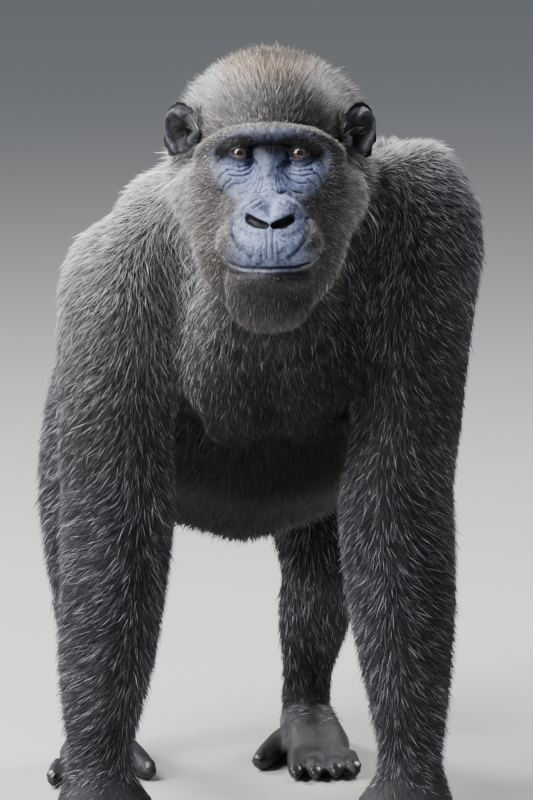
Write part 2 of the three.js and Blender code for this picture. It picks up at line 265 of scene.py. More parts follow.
# %% The head's volumes
# (middle, half sizes, softness of the crease, depth of hair)
SKULL = [
    ((0, 74, 30), (92, 86, 97), 1, 13),
    ((3, 122, 30), (121, 86, 98), 30, 20),
    ((0, 42, -95), (100, 76, 107), 30, 12),
    *both_sides(((74, 66, -46), (60, 66, 58), 38, 24)),
]
FACE = [
    ((0, -6, -72), (53, 50, 44), 22, 0),
    ((0, -34, -102), (56, 43, 34), 18, 0),
    ((0, -29, -114), (59, 61, 29), 22, 0),
    ((0, -16, -168), (52, 42, 42), 22, 3),
    ((0, -24, -150), (47, 55, 19), 15, 0),
    *both_sides(((58, 27, -38), (36, 35, 52), 16, 2)),
    *both_sides(((39, 3, -29), (28, 19, 19), 8, 0)),
    ((0, -50, -86), (40, 37, 29), 7, 0),
    *both_sides(((17, -60, -65), (19, 22, 15), 8, 0)),
    *both_sides(((eye_spread, 0, 0), (15, 15, 14), 6, 0)),
]
BROW = [
    (76 * s, -13 + 33 * abs(s) ** 2.2, 23 - 21 * abs(s) ** 4, 13 - 2.5 * abs(s))
    for s in np.linspace(-1, 1, 15)
]
BRIDGE = [(0, 5, 10, 16), (0, -5, -20, 17), (0, -27, -46, 21), (0, -46, -66, 22)]
WING = [(23, -67, -61, 8), (31, -61, -68, 8.5), (35, -57, -79, 8.5), (35.5, -56, -92, 8), (27, -61, -107, 7)]
NOSTRIL = [(5, -84, -87.5, 3.4), (16, -83, -84.5, 5.2), (25.5, -76, -79, 4.8)]
NOSTRIL_DEEP = [(8, -68, -86, 4.2), (19, -60, -81.5, 6.0)]
BROW_CREASE, BRIDGE_CREASE, WING_CREASE, NOSTRIL_EDGE = 15, 9, 5, 4.5
print(len(SKULL) + len(FACE), "soft volumes in the head")

# %% [markdown]
# All volumes together give one distance: above nothing outside the head, and below it inside. A point
# walks to the surface along the steepest slope of that distance, which is found by three small steps.


# %% The head as one surface
def nostril_distance(mirrored):
    return np.minimum(tube(mirrored, NOSTRIL), tube(mirrored, NOSTRIL_DEEP))


def head_distance(p, hair=1.0):
    """How far a point is outside the head: its skin with hair at 1, its hair tips with hair at 0."""
    distance = None
    for centre, half, softness, coat in SKULL + FACE:
        form = ellipsoid(p, centre, np.array(half) - coat * hair)
        distance = form if distance is None else blend_in(distance, form, softness)
    distance = blend_in(distance, tube(p, BROW), BROW_CREASE)
    distance = blend_in(distance, tube(p, BRIDGE), BRIDGE_CREASE)
    for side in (-1, 1):
        distance = blend_in(distance, tube(p * [side, 1, 1], WING), WING_CREASE)
    for side in (-1, 1):
        distance = -blend_in(-distance, nostril_distance(p * [side, 1, 1]), NOSTRIL_EDGE)
    return distance


def pull_to_head(p, share, rounds):
    """Moves points, in the head's frame, onto its surface."""
    step, furthest = 0.5, 12
    for _ in range(rounds):
        here = head_distance(p)
        slope = np.stack([head_distance(p + step * np.eye(3)[k]) - here for k in range(3)], 1)
        p = p - unit(slope) * (np.clip(here, -furthest, furthest) * share)[:, None]
    return p


print("the chin is", round(float(head_distance(np.array([[0.0, -60, -250]]))[0])), "mm above a low point")

# %% [markdown]
# ## One skin
# A real animal has one skin, with no seam at neck or elbow, so copies of all the flesh solids are joined
# and remeshed. Voxel remeshing was chosen over booleans because it closes the fine gaps between the
# solids and gives even quads, which take smoothing and sculpting well. For the head a ball of many
# points is shrunk onto the blended forms, because it has no eye sockets or lips that could fold over.

# %% Join the flesh
VOXEL = 4.4 * MM
HEAD_CENTRE = np.array([0.0, 60.0, -35.0])
WEB_SHIFT, WEB_HALF = Vector((0, -48, 0)), (7, 26, 14, 1)
FLESH = [name for name in nodes if not name.startswith(("eye", "finger_nail", "toe_nail"))]


def shrunk_head():
    """A closed ball whose points lie on the outermost surface of the head."""
    ball = bmesh.new()
    bmesh.ops.create_icosphere(ball, subdivisions=6, radius=1.0)
    way = unit(np.array([vert.co[:] for vert in ball.verts]))
    reach = np.full(len(way), 300.0)
    for _ in range(48):
        reach -= 0.85 * head_distance(HEAD_CENTRE + way * reach[:, None])
    for vert, place in zip(ball.verts, from_head(HEAD_CENTRE + way * reach[:, None])):
        vert.co = place
    return ball


def merged_copy(name):
    copy = bmesh.new()
    copy.from_mesh(nodes[name].data)
    bmesh.ops.remove_doubles(copy, verts=copy.verts, dist=1e-6)
    return copy


def add_to(bm, other):
    plain = mesh_of(other, "part")
    bm.from_mesh(plain)
    bpy.data.meshes.remove(plain)


def finger_web(side, finger):
    """Flesh that closes the gap between one finger and the next, placed from their nails."""
    between = (middle(f"finger_nail_{side}_{finger}") + middle(f"finger_nail_{side}_{finger + 1}")) / 2
    web = bmesh.new()
    form = Matrix.Translation(Vector(between) + WEB_SHIFT * MM) @ Matrix.Diagonal(WEB_HALF)
    bmesh.ops.create_icosphere(web, subdivisions=3, radius=MM, matrix=form)
    return web


bm = bmesh.new()
for name in FLESH:
    if name not in ("head", "jaw"):
        add_to(bm, merged_copy(name))
for side in ("left", "right"):
    for finger in (1, 2, 3):
        add_to(bm, finger_web(side, finger))
add_to(bm, shrunk_head())
joined = mesh_of(bm, "joined_flesh")
print(len(joined.vertices), "points in the joined solids")

# %% [markdown]
# Remesh and Decimate are modifiers, and this function gives back the mesh as one of them changes it.


# %% Remesh
def through(mesh, kind, **settings):
    """The mesh after one modifier."""
    holder = add_object("holder", mesh)
    group = settings.pop("group", None)
    modifier = holder.modifiers.new("change", kind)
    if group is not None:
        members = holder.vertex_groups.new(name="members")
        members.add([int(i) for i in np.nonzero(group)[0]], 1.0, "REPLACE")
        modifier.vertex_group = members.name
    for key, value in settings.items():
        setattr(modifier, key, value)
    bpy.context.view_layer.update()
    graph = bpy.context.evaluated_depsgraph_get()
    changed = bpy.data.meshes.new_from_object(holder.evaluated_get(graph))
    bpy.data.objects.remove(holder)
    return changed


base = through(joined, "REMESH", mode="VOXEL", voxel_size=VOXEL)
print("remeshed skin:", len(base.vertices), "points")

# %% [markdown]
# The rest of the work needs to know which part of the body a point belongs to. The nearest solid of the
# frame tells it.

# %% Which part of the body
corner_list, face_list, owner = [], [], []
for index, name in enumerate(FLESH):
    mesh = nodes[name].data
    start = len(corner_list)
    corner_list.extend(tuple(v.co) for v in mesh.vertices)
    for polygon in mesh.polygons:
        face_list.append([start + v for v in polygon.vertices])
        owner.append(index)
solids_tree = BVHTree.FromPolygons(corner_list, face_list)
owner = np.array(owner)


def part_of(points):
    """The index in FLESH of the nearest solid."""
    return np.array([owner[solids_tree.find_nearest(Vector(p))[2]] for p in points])


def belongs(parts, *words):
    wanted = [i for i, name in enumerate(FLESH) if name.startswith(words)]
    return np.isin(parts, wanted)


parts = part_of(points_of(base))
print({name: int((parts == i).sum()) for i, name in enumerate(FLESH)})

# %% [markdown]
# ## The skin lies inside the coat
# The solids reach to the hair tips, so the skin sits deeper by the coat's depth: deepest at the neck and
# arms, shallow on the chest, and nothing at all on knuckles and soles. First the facets are relaxed
# away. Then every point moves inwards along its own direction.

# %% Relax and sink the body
COAT_DEPTH = {
    "upper_arm": 8, "forearm": 6, "neck": 8, "chest": 8, "belly": 12, "rump": 12, "thigh": 10, "shank": 7,
    "hand": 5, "foot": 4, "head": 0, "jaw": 0, "ear": 0,
}
edges = edges_of(base)
points = points_of(base)
height = in_body(points)[:, 2]
extremity = belongs(parts, "hand", "foot")
on_head = belongs(parts, "head", "jaw", "ear")

depth = np.zeros(len(points))
for word, value in COAT_DEPTH.items():
    depth[belongs(parts, word)] = value
depth[belongs(parts, "hand")] *= ease(88, 128, height[belongs(parts, "hand")])
depth[belongs(parts, "foot")] *= ease(50, 92, height[belongs(parts, "foot")])
depth = evened(depth, edges, 14, 0.6)

softness = np.where(extremity, 0.02 + 0.5 * ease(62, 105, height), np.where(on_head, 0.05, 0.6))
softness = evened(softness, edges, 4, 0.5)
for _ in range(60):  # fingers and toes are smoothed and swelled back by turns, so they stay as thick
    points = relax(points, edges, 1, extremity * 0.55)
    points = relax(points, edges, 1, extremity * -0.57)
points = relax(points, edges, 64, softness)
triangles = triangles_of(base)
points -= facing(points, triangles) * depth[:, None] * MM
points = relax(points, edges, 12, softness * 0.8)
print("coat depth from", round(depth.min(), 1), "to", round(depth.max(), 1), "mm")

# %% [markdown]
# The two breast muscles meet in a groove, and a crease runs under each. They are lines on the chest as
# seen from the front, and points near a line rise or sink by a soft bump.

# %% Breast muscles
# (line, width, height)
CHEST_FORMS = [
    ([(6, 705), (6, 560)], 13, -6),
    ([(6, 578), (-42, 552), (-95, 566)], 12, -5),
    ([(6, 578), (52, 552), (98, 566)], 12, -5),
    ([(-38, 640), (-46, 610)], 36, 5),
    ([(48, 640), (56, 610)], 36, 5),
]
body = in_body(points)
front_chest = (body[:, 1] < 30) & (np.abs(body[:, 0]) < 125) & belongs(parts, "chest", "belly")
rise = sum(h * hump(line_distance(body[:, [0, 2]], line), w) for line, w, h in CHEST_FORMS) * front_chest
points += facing(points, triangles) * rise[:, None] * MM
put_points(base, points)
print("the chest moves by", round(rise.min(), 1), "to", round(rise.max(), 1), "mm")

# %% [markdown]
# Points near the head's blended surface are pulled back onto it, and the pull fades out over the neck.
# The ears keep the shape of their solids for now.

# %% Settle the head
points = points_of(base)
local = in_head(points)
near_head = np.nonzero((np.abs(local[:, 0]) < 150) & (local[:, 1] < 230) & (local[:, 2] > -240))[0]
outside = head_distance(local[near_head])
nape = ease(85, 130, local[:, 1]) * (1 - ease(25, 65, local[:, 2])) * ease(-190, -130, local[:, 2])
nape *= 1 - ease(150, 190, np.abs(local[:, 0]))
pull = (1 - ease(4, 14, np.abs(outside))) * (1 - nape[near_head])
pull[belongs(parts[near_head], "ear")] = 0
hold = np.zeros(len(points))
hold[near_head] = pull
hold = evened(hold, edges, 3, 0.5)
local[near_head] = pull_to_head(local[near_head], hold[near_head], 6)
points = from_head(local)
held = hold >= 0.98
points = relax(points, edges, 3, np.where(on_head, 0.3, 0.5) * ~held * ~extremity + 0.15 * held)
points = relax(points, edges, 110, nape * 0.7)
print("points on the head:", int((hold > 0.5).sum()))

# %% [markdown]
# Muscles run from the skull down to the shoulders and fill the groove between them. The arms carry the
# weight unevenly, so each shoulder has its own slope, made of a few soft bumps and dips.

# %% Nape and shoulders
# (across, up, half width, half height, rise), seen from the front
SHOULDER_FORMS = [
    (-192, 815, 38, 38, -12),
    (-250, 742, 40, 45, 8),
    (160, 868, 34, 30, 9),
    (268, 780, 45, 80, 9),
]
local = in_head(points)
from_groove = 0.82 * local[:, 1] - 0.573 * local[:, 2] - 139
fill = 15 * hump(from_groove, 28) * ease(-130, -70, local[:, 2])
fill *= (1 - ease(120, 160, np.abs(local[:, 0]))) * ~extremity
points += facing(points, triangles) * fill[:, None] * MM
body = in_body(points)
slopes = sum(
    rise * np.exp(-(((body[:, 0] - x) / half_x) ** 2) - ((body[:, 2] - z) / half_z) ** 2)
    for x, z, half_x, half_z, rise in SHOULDER_FORMS
)
points += facing(points, triangles) * (slopes * ~on_head * (body[:, 1] < 260))[:, None] * MM
put_points(base, points)
print("the groove is filled by up to", round(fill.max(), 1), "mm")

# %% [markdown]
# ## Fine where it matters
# The face needs points a millimetre apart and the back doesn't, so the back and limbs are thinned with
# Decimate, and the face and ears are divided. Points are pulled onto the head's forms again after that.

# %% Thin the body
BODY_THINNING, LIMB_THINNING = 0.88, 0.9


def within(local, width, back, low, high):
    """Which points of the head are this near its middle plane, this far forward, and between two heights."""
    x, y, z = local.T
    return (np.abs(x) < width) & (y < back) & (z > low) & (z < high)


body_only = ~within(in_head(points), 98, 56, -218, 64) & ~belongs(parts, "ear", "hand", "foot")
before = len(triangles)
target = (before - 2 * int(body_only.sum()) * BODY_THINNING) / before
base = through(base, "DECIMATE", group=body_only, ratio=target)
local, body = in_head(points_of(base)), in_body(points_of(base))
limb_ends = (body[:, 2] < 130) & (np.linalg.norm(local, axis=1) > 300)
base = through(base, "DECIMATE", group=limb_ends, ratio=1 - LIMB_THINNING * limb_ends.mean())
print("after thinning:", len(base.polygons), "faces")

# %% [markdown]
# The front of the head and the ears are divided once, and lids, bags, nose, lips and ears once more. The
# ear has a small frame of its own, because it stands at an angle to the head.

# %% Divide the face and the ears
EAR_TURN = math.radians(34)
EAR_MIDDLE, EAR_HALF = (105, 72, 29), (23, 33)


def divide(mesh, chosen):
    """Splits every face whose corners are all chosen."""
    work = bmesh.new()
    work.from_mesh(mesh)
    work.verts.ensure_lookup_table()
    picked = [edge for edge in work.edges if chosen[edge.verts[0].index] and chosen[edge.verts[1].index]]
    bmesh.ops.subdivide_edges(work, edges=picked, cuts=1, use_grid_fill=True)
    bmesh.ops.triangulate(work, faces=[face for face in work.faces if len(face.verts) > 4])
    work.to_mesh(mesh)
    work.free()


def ear_frame(local, side):
    """Ear coordinates: outwards, back through the ear, and up. The bowl opens towards the front."""
    turn = EAR_TURN * side
    shifted = local - np.array(EAR_MIDDLE) * [side, 1, 1]
    across = shifted[:, 0] * math.cos(turn) + shifted[:, 1] * math.sin(turn)
    through_ear = -shifted[:, 0] * math.sin(turn) + shifted[:, 1] * math.cos(turn)
    return np.stack([across * side, through_ear, shifted[:, 2]], 1)


def near_ear(local):
    found = np.zeros(len(local), bool)
    for side in (-1, 1):
        e = ear_frame(local, side)
        found |= (np.abs(e[:, 0]) < 30) & (np.abs(e[:, 1]) < 16) & (np.abs(e[:, 2]) < 38)
    return found


local = in_head(points_of(base))
divide(base, within(local, 92, 50, -212, 58) | near_ear(local))

local = in_head(points_of(base))
eye_zone = (np.hypot(np.abs(local[:, 0]) - eye_spread, local[:, 2]) < 24) & (local[:, 1] < 20)
bag_zone = within(local, 62, 14, -54, 10)
snout_zone = within(local, 62, -20, -146, -50)
divide(base, eye_zone | bag_zone | snout_zone | near_ear(local))

edges, triangles = edges_of(base), triangles_of(base)
local = in_head(points_of(base))
zone = np.nonzero(within(local, 96, 60, -216, 90))[0]
weight = np.zeros(len(local))
weight[zone] = (1 - ease(40, 58, local[zone, 1])) * (1 - ease(-205, -215, local[zone, 2]))
for _ in range(3):
    local = relax(local, edges, 2, weight * 0.5)
    local[zone] = pull_to_head(local[zone], weight[zone], 2)
print("skin:", len(local), "points,", len(triangles), "triangles")

# %% [markdown]
# ## Folds, lids and lips
# Each fold is a stroke: a line drawn on the face as seen from the front, with a width and a height. A
# point near the line moves in or out by a soft bump. This is the sculptor's crease brush, written down.


# %% Strokes on the face
MOUTH = [(-58, -119), (-47, -130.5), (-31, -135.5), (0, -137), (30, -135), (48, -129.5), (60, -118)]
LOWER_LIP = [(x * 0.96, z - 4) for x, z in MOUTH]
# (line on the left half, width, height): negative heights are creases
FOLDS = [
    ([(44.5, -78), (45.5, -93), (41, -107), (31, -118), (22, -125)], 2.6, -4.6),
    ([(44.5, -80), (41, -68), (34, -58), (26, -51)], 3.0, -2.6),
    ([(26, -49), (17, -46), (9, -50), (5, -58)], 2.6, -1.6),
    ([(4, -56), (0, -66), (0, -74)], 4.0, -3.0),
    ([(10, -60), (18, -66)], 1.4, -0.9),
    ([(12, -54), (22, -60), (27, -64)], 1.4, -0.8),
    ([(3, -44), (10, -48), (18, -46)], 1.3, -0.9),
    ([(19, -8), (27, -14.5), (38, -16.5), (49, -12)], 1.2, -1.3),
    ([(17, -8), (24, -18), (37, -21.5), (51, -18)], 1.2, -1.5),
    ([(15, -10), (22, -22.5), (34, -27.5), (49, -25.5)], 1.2, -1.2),
    ([(14, -12), (19, -27), (30, -35), (43, -36)], 1.3, -1.2),
    ([(12, -14), (16, -35), (26, -45), (38, -48)], 1.4, -1.1),
    ([(10, -17), (13, -38), (20, -51)], 1.3, -1.3),
    ([(8, -26), (10, -42), (14, -50)], 1.2, -0.8),
    ([(50, -19), (59, -27), (63, -38)], 1.3, -0.8),
    ([(45, -30), (54, -38), (56, -46)], 1.2, -0.6),
    ([(60, -8), (67, -18)], 1.3, -0.8),
    ([(2, 4), (4, 12), (5, 20)], 2.0, -1.2),
    ([(1, 26), (3, 38)], 2.4, -1.2),
    ([(14, 28), (17, 40)], 2.2, -0.8),
    ([(30, 26), (35, 36)], 2.2, -0.7),
    ([(20, 14), (38, 18), (54, 12), (62, 2)], 3.0, -1.4),
    ([(12, 33), (30, 36), (46, 31)], 1.6, -0.9),
    ([(3.5, -93), (4, -126)], 1.5, -1.0),
    ([(9, -108), (11, -132)], 1.6, -0.6),
    ([(19, -114), (22, -132)], 1.8, -0.7),
    ([(31, -122), (35, -132)], 1.8, -0.6),
    ([(62, -114), (68, -128)], 3.0, -1.6),
    ([(14, -97), (28, -94), (36, -84)], 3.0, 1.4),
]
print(len(FOLDS), "strokes on each half of the face")

# %% [markdown]
# Grown folds have no corners and don't run as true as a drawn line, so the corners of each line are cut
# and the drawing wavers by a millimetre. Fine noise over all of it makes the small lumps of old skin.


# %% Press the strokes in
def rounded(line):
    """The line with its corners cut."""
    cut = [line[0]]
    for a, b in zip(line[:-1], line[1:]):
        cut += [tuple(s * p + (1 - s) * q for p, q in zip(a, b)) for s in (0.75, 0.25)]
    return cut + [line[-1]]


def seen_from_front(local, side):
    """Places on the flat drawing of the face, wavering a little, so the strokes look grown."""
    waver = np.stack([noise(local, 9, 41), noise(local, 6, 42)], 1)
    return local[:, [0, 2]] * [side, 1] + 1.1 * waver


FOLDS = [(rounded(line), width, height) for line, width, height in FOLDS]
flat = local[zone][:, [0, 2]]
lift = np.zeros(len(zone))
for side in (-1, 1):
    half = seen_from_front(local[zone], side)
    for line, width, height in FOLDS:
        lift += (1.5 if width < 1.5 else 1) * height * hump(line_distance(half, line), width)
mouth_gap = line_distance(flat, MOUTH)
lift -= 1.2 * hump(mouth_gap, 5)
lift += 1.6 * hump(line_distance(flat, LOWER_LIP), 2.4)
lift += noise(local[zone], 7, 3) * 0.35 + noise(local[zone], 3, 4) * 0.22
local_facing = facing(local, triangles)
local[zone] += local_facing[zone] * (lift * weight[zone])[:, None]
local[zone, 1] += 3.6 * hump(mouth_gap, 1.25) * weight[zone]
print("the strokes move the skin by", round(lift.min(), 1), "to", round(lift.max(), 1), "mm")

# %% [markdown]
# The eyelids come from an almond outline between two arcs. Outside it the skin lies on the eyeball, and
# inside it the skin drops behind it. Soft creases follow the lid's outer half.

# %% Eyelids
EYEBALL = 12.5
LID_RADIUS, SOCKET_RADIUS = 14.3, 11.6
LID_HALF, LID_TOP, LID_BOTTOM = 14.2, 7.0, 6.7
LID_SHIFT, LID_TILT = -1.8, math.radians(5)
# (distance from the lid's edge, height) of the soft creases round the outer half of the eye
LID_CREASES = [(4.4, -1.2), (7.6, -0.9)]


def lid_distance(local, side):
    """Distance outside the almond opening of one eye, as seen from the front."""
    u = (local[:, 0] - side * eye_spread) * side - LID_SHIFT
    v = local[:, 2]
    u, v = u * math.cos(LID_TILT) + v * math.sin(LID_TILT), v * math.cos(LID_TILT) - u * math.sin(LID_TILT)
    radius_top = (LID_HALF**2 + LID_TOP**2) / (2 * LID_TOP)
    radius_bottom = (LID_HALF**2 + LID_BOTTOM**2) / (2 * LID_BOTTOM)
    above = np.hypot(u, v - (LID_TOP - radius_top)) - radius_top
    below = np.hypot(u, v + (LID_BOTTOM - radius_bottom)) - radius_bottom
    return np.maximum(above, below)


for side in (-1, 1):
    centre = np.array([side * eye_spread, 0, 0])
    away = local - centre
    reach = np.linalg.norm(away, axis=1)
    around = np.nonzero((reach < 32) & (local[:, 1] < 6))[0]
    gap = lid_distance(local[around], side)
    radius = reach[around]
    outer = ease(-17, -11, (local[around, 0] - side * eye_spread) * side)
    on_lid = radius + (LID_RADIUS - radius) * (1 - ease(1.5, 15 - 7 * outer, gap))
    on_lid += 0.7 * hump(gap - 1.5, 1)
    for distance, height in LID_CREASES:
        on_lid += height * outer * hump(gap - distance, 1)
    on_lid -= 0.9 * (local[around, 2] < -2) * outer * hump(gap - 10.8, 1)
    radius = SOCKET_RADIUS + (on_lid - SOCKET_RADIUS) * ease(-0.5, 0.9, gap)
    fade = 1 - ease(-6, 6, local[around, 1])
    radius = reach[around] + (radius - reach[around]) * fade
    local[around] = centre + away[around] / reach[around][:, None] * radius[:, None]
    print(len(around), "points round an eye, the opening is", 2 * LID_HALF, "mm wide")

# %% [markdown]
# A gorilla's ear is close to the head: a curled rim, a second ridge inside it, and a deep bowl. The solid
# gives a small dish. It is grown outwards from the head, and bumps in the ear's own frame give the ridges.

# %% Ears
EAR_GROWTH = 1.3
ear_relief = np.zeros(len(local))
for side in (-1, 1):
    e = ear_frame(local, side)
    shell = np.nonzero((np.abs(e[:, 0]) < 32) & (np.abs(e[:, 1]) < 16) & (np.abs(e[:, 2]) < 38))[0]
    out, back, up = e[shell].T
    ring = np.hypot(out / EAR_HALF[0], up / EAR_HALF[1])
    turn = np.arctan2(up / EAR_HALF[1], out / EAR_HALF[0])
    free = ease(0, 7, head_distance(local[shell]))
    rim = 3.6 * hump(ring - 0.90, 0.10) * (1 - ease(2.0, 2.8, np.abs(turn)))
    groove = -3.0 * hump(ring - 0.72, 0.07) * (1 - ease(1.8, 2.5, np.abs(turn - 0.2)))
    ridge = 5.5 * hump(ring - 0.52 - 0.1 * np.sin(2 * turn), 0.10) * (1 - ease(1.5, 2.2, np.abs(turn - 0.3)))
    bowl = -8.0 * hump(np.hypot(out + 5, (up + 3) * 0.75), 8)
    tragus = 6.0 * hump(np.hypot(out + 15, up + 8), 5)
    relief = rim + groove + ridge + bowl + tragus
    relief += 1.5 * noise(e[shell], 7, 31) + 0.9 * noise(e[shell], 4, 32)
    ear_relief[shell] = relief * (1 - ease(4, 10, back))
    push = relief * (1 - ease(-1, 4, back))
    outwards = np.array([side * math.cos(EAR_TURN), math.sin(EAR_TURN), 0])
    forward = np.array([side * math.sin(EAR_TURN), -math.cos(EAR_TURN), 0])
    local[shell] += ((EAR_GROWTH - 1) * free * (out + 12))[:, None] * outwards
    local[shell, 2] += (EAR_GROWTH - 1) * free * up
    local[shell] += push[:, None] * forward

points = from_head(local)
put_points(base, points)
skin = add_object("skin", base)
base.shade_smooth()
print("skin box:", np.round(points.min(0), 3), np.round(points.max(0), 3))

# %% [markdown]
# ## Where hair grows and what colour it is
# The face, ears, knuckles and soles are bare. The bare face has a clear outline, and hair grows longer
# with the distance from it. A mask could be painted by hand, but a drawn outline can be changed later and
# gives a distance as well.

# %% Bare outline
FACE_OUTLINE = [
    (0, 24), (10, 25.5), (24, 25.5), (37, 21.5), (48, 16), (58, 8), (66, -2), (66, -14), (60, -28),
    (53, -39), (44, -47), (35, -52), (33, -57), (37, -65), (42, -78), (44, -90), (43, -102), (43, -112),
    (50, -122), (44, -132), (32, -139), (16, -143), (0, -144),
]
OUTLINE = FACE_OUTLINE + [(-x, z) for x, z in FACE_OUTLINE[-2:0:-1]]


def from_bare_face(local):
    """Distance outside the bare part of the face, as seen from the front."""
    flat = local[:, [0, 2]]
    inside = np.zeros(len(flat), bool)
    loop = OUTLINE + OUTLINE[:1]
    for (ax, az), (bx, bz) in zip(loop[:-1], loop[1:]):
        if az == bz:
            continue
        crosses = (az > flat[:, 1]) != (bz > flat[:, 1])
        inside ^= crosses & (flat[:, 0] < (bx - ax) * (flat[:, 1] - az) / (bz - az) + ax)
    distance = line_distance(flat, loop)
    distance = np.where(inside, -distance, distance)
    distance = np.maximum(distance, local[:, 1] - np.where(local[:, 2] > -40, 9, 22))
    return np.where(local[:, 1] > 48, np.maximum(distance, 45), distance)


print(round(float((from_bare_face(local) < 0).mean()), 2), "of the skin's points are on the bare face")

# %% [markdown]
# Colours are mixed by formula from soft patches rather than painted, because a formula fits any mesh and can
# be changed later: silver-brown on cheeks and brow, chestnut on the crown, black with a violet cast on the
# body, dark slate with a painted blue sheen of the sky on the bare face, and dark skin with painted shade
# round the eyes.


# %% Patches of colour
def blotch(local, centre, half):
    """A soft patch on the face, 1 at its middle."""
    x, z = (local[:, 0] - centre[0]) / half[0], (local[:, 2] - centre[1]) / half[1]
    return np.exp(-(x * x + z * z)) * (1 - ease(20, 50, local[:, 1]))


def mix(a, b, share):
    return a + (np.array(b) - a) * share[:, None]


def wet_tufts(local):
    """Where the hair on top of the crown sticks together in dark points."""
    top = ease(88, 108, local[:, 2]) * (1 - ease(45, 80, np.abs(local[:, 0])))
    return top * ease(-0.15, 0.15, noise(local, 8, 21))


# dark grey skin with a painted blue sheen of the sky on it
SLATE_AND_SKY_SHEEN = (0.150, 0.176, 0.300)
# dark skin round the eyes, with painted shade under the brow, between the eyes and in the creases
DARK_SKIN_AND_SHADE = (0.005, 0.0045, 0.005)
BLACK_SKIN = (0.008, 0.008, 0.009)
HAND_SKIN = (0.030, 0.029, 0.033)
SILVER = (0.44, 0.42, 0.43)
GREY_BROWN = (0.200, 0.182, 0.176)
CHESTNUT = (0.33, 0.215, 0.145)
BODY_BLACK = (0.060, 0.057, 0.066)
# (middle, half size, share, tone) of the painted highlights on the shoulders
SHOULDER_HIGHLIGHTS = [
    ((-175, -10, 790), (110, 130, 170), 0.9, 0.48),
    ((-135, 10, 850), (75, 130, 75), 0.85, 0.62),
    ((185, 0, 900), (100, 130, 60), 0.85, 0.60),
]
print(round(float(wet_tufts(local).mean()), 3), "of the points are under wet tufts")

# %% [markdown]
# Skin is laid on like paint, from the widest patches to the thinnest lines: black skin first, slate with a
# painted blue sheen of the sky on the face, painted highlights and shade on the ears, dark skin and painted
# shade round the eyes, painted shade in the nostrils and creases, the line of the mouth in painted shade above
# a painted highlight on the lower lip, a painted highlight on the nose, and a mottle over all of it.


# %% Colour of the skin
# (middle, half size, share, colour) of patches on each half of the face and on its middle
# round each eye: dark skin, painted shade under the brow and at the corners, and a painted highlight on the
# lower lid
EYE_PATCHES = [
    ((36, 12), (33, 10), 1.5, DARK_SKIN_AND_SHADE),
    ((56, 4), (14, 14), 1.3, DARK_SKIN_AND_SHADE),
    ((36, -4), (20, 9), 0.75, DARK_SKIN_AND_SHADE),
    ((34, -15), (17, 4.5), 0.5, SLATE_AND_SKY_SHEEN),
]
EDGE_PATCHES = [
    ((54, -116), (15, 24), 0.65, (0.060, 0.060, 0.075)),
    ((62, 20), (16, 12), 0.7, (0.055, 0.052, 0.060)),
]
# between the eyes and down the bridge: dark skin and painted shade under the brow
MIDDLE_PATCHES = [((0, 6), (24, 18), 0.97, DARK_SKIN_AND_SHADE), ((3, -20), (6, 15), 0.7, DARK_SKIN_AND_SHADE)]


def lay_on(tone, patches, local, face):
    for centre, half, share, colour in patches:
        tone = mix(tone, colour, face * np.minimum(share * blotch(local, centre, half), 1))
    return tone


def colour_mouth(tone, local, on_head):
    """Painted shade in the line between the lips, a painted highlight along the lower lip, and the dark chin
    below it.
    """
    flat, front = local[:, [0, 2]], local[:, 1] < 20
    # painted shade in the line of the mouth, and a painted highlight along the lower lip
    tone = mix(tone, (0.010, 0.009, 0.010), 0.97 * hump(line_distance(flat, MOUTH), 1.5) * front)
    tone = mix(tone, (0.22, 0.22, 0.25), 0.5 * hump(line_distance(flat, LOWER_LIP), 1.2) * front)
    under_mouth = np.interp(flat[:, 0], *np.array(MOUTH).T) - flat[:, 1]
    chin = front * on_head * (1 - ease(54, 64, np.abs(flat[:, 0])))
    return mix(tone, (0.013, 0.012, 0.015), chin * ease(4, 7, under_mouth))


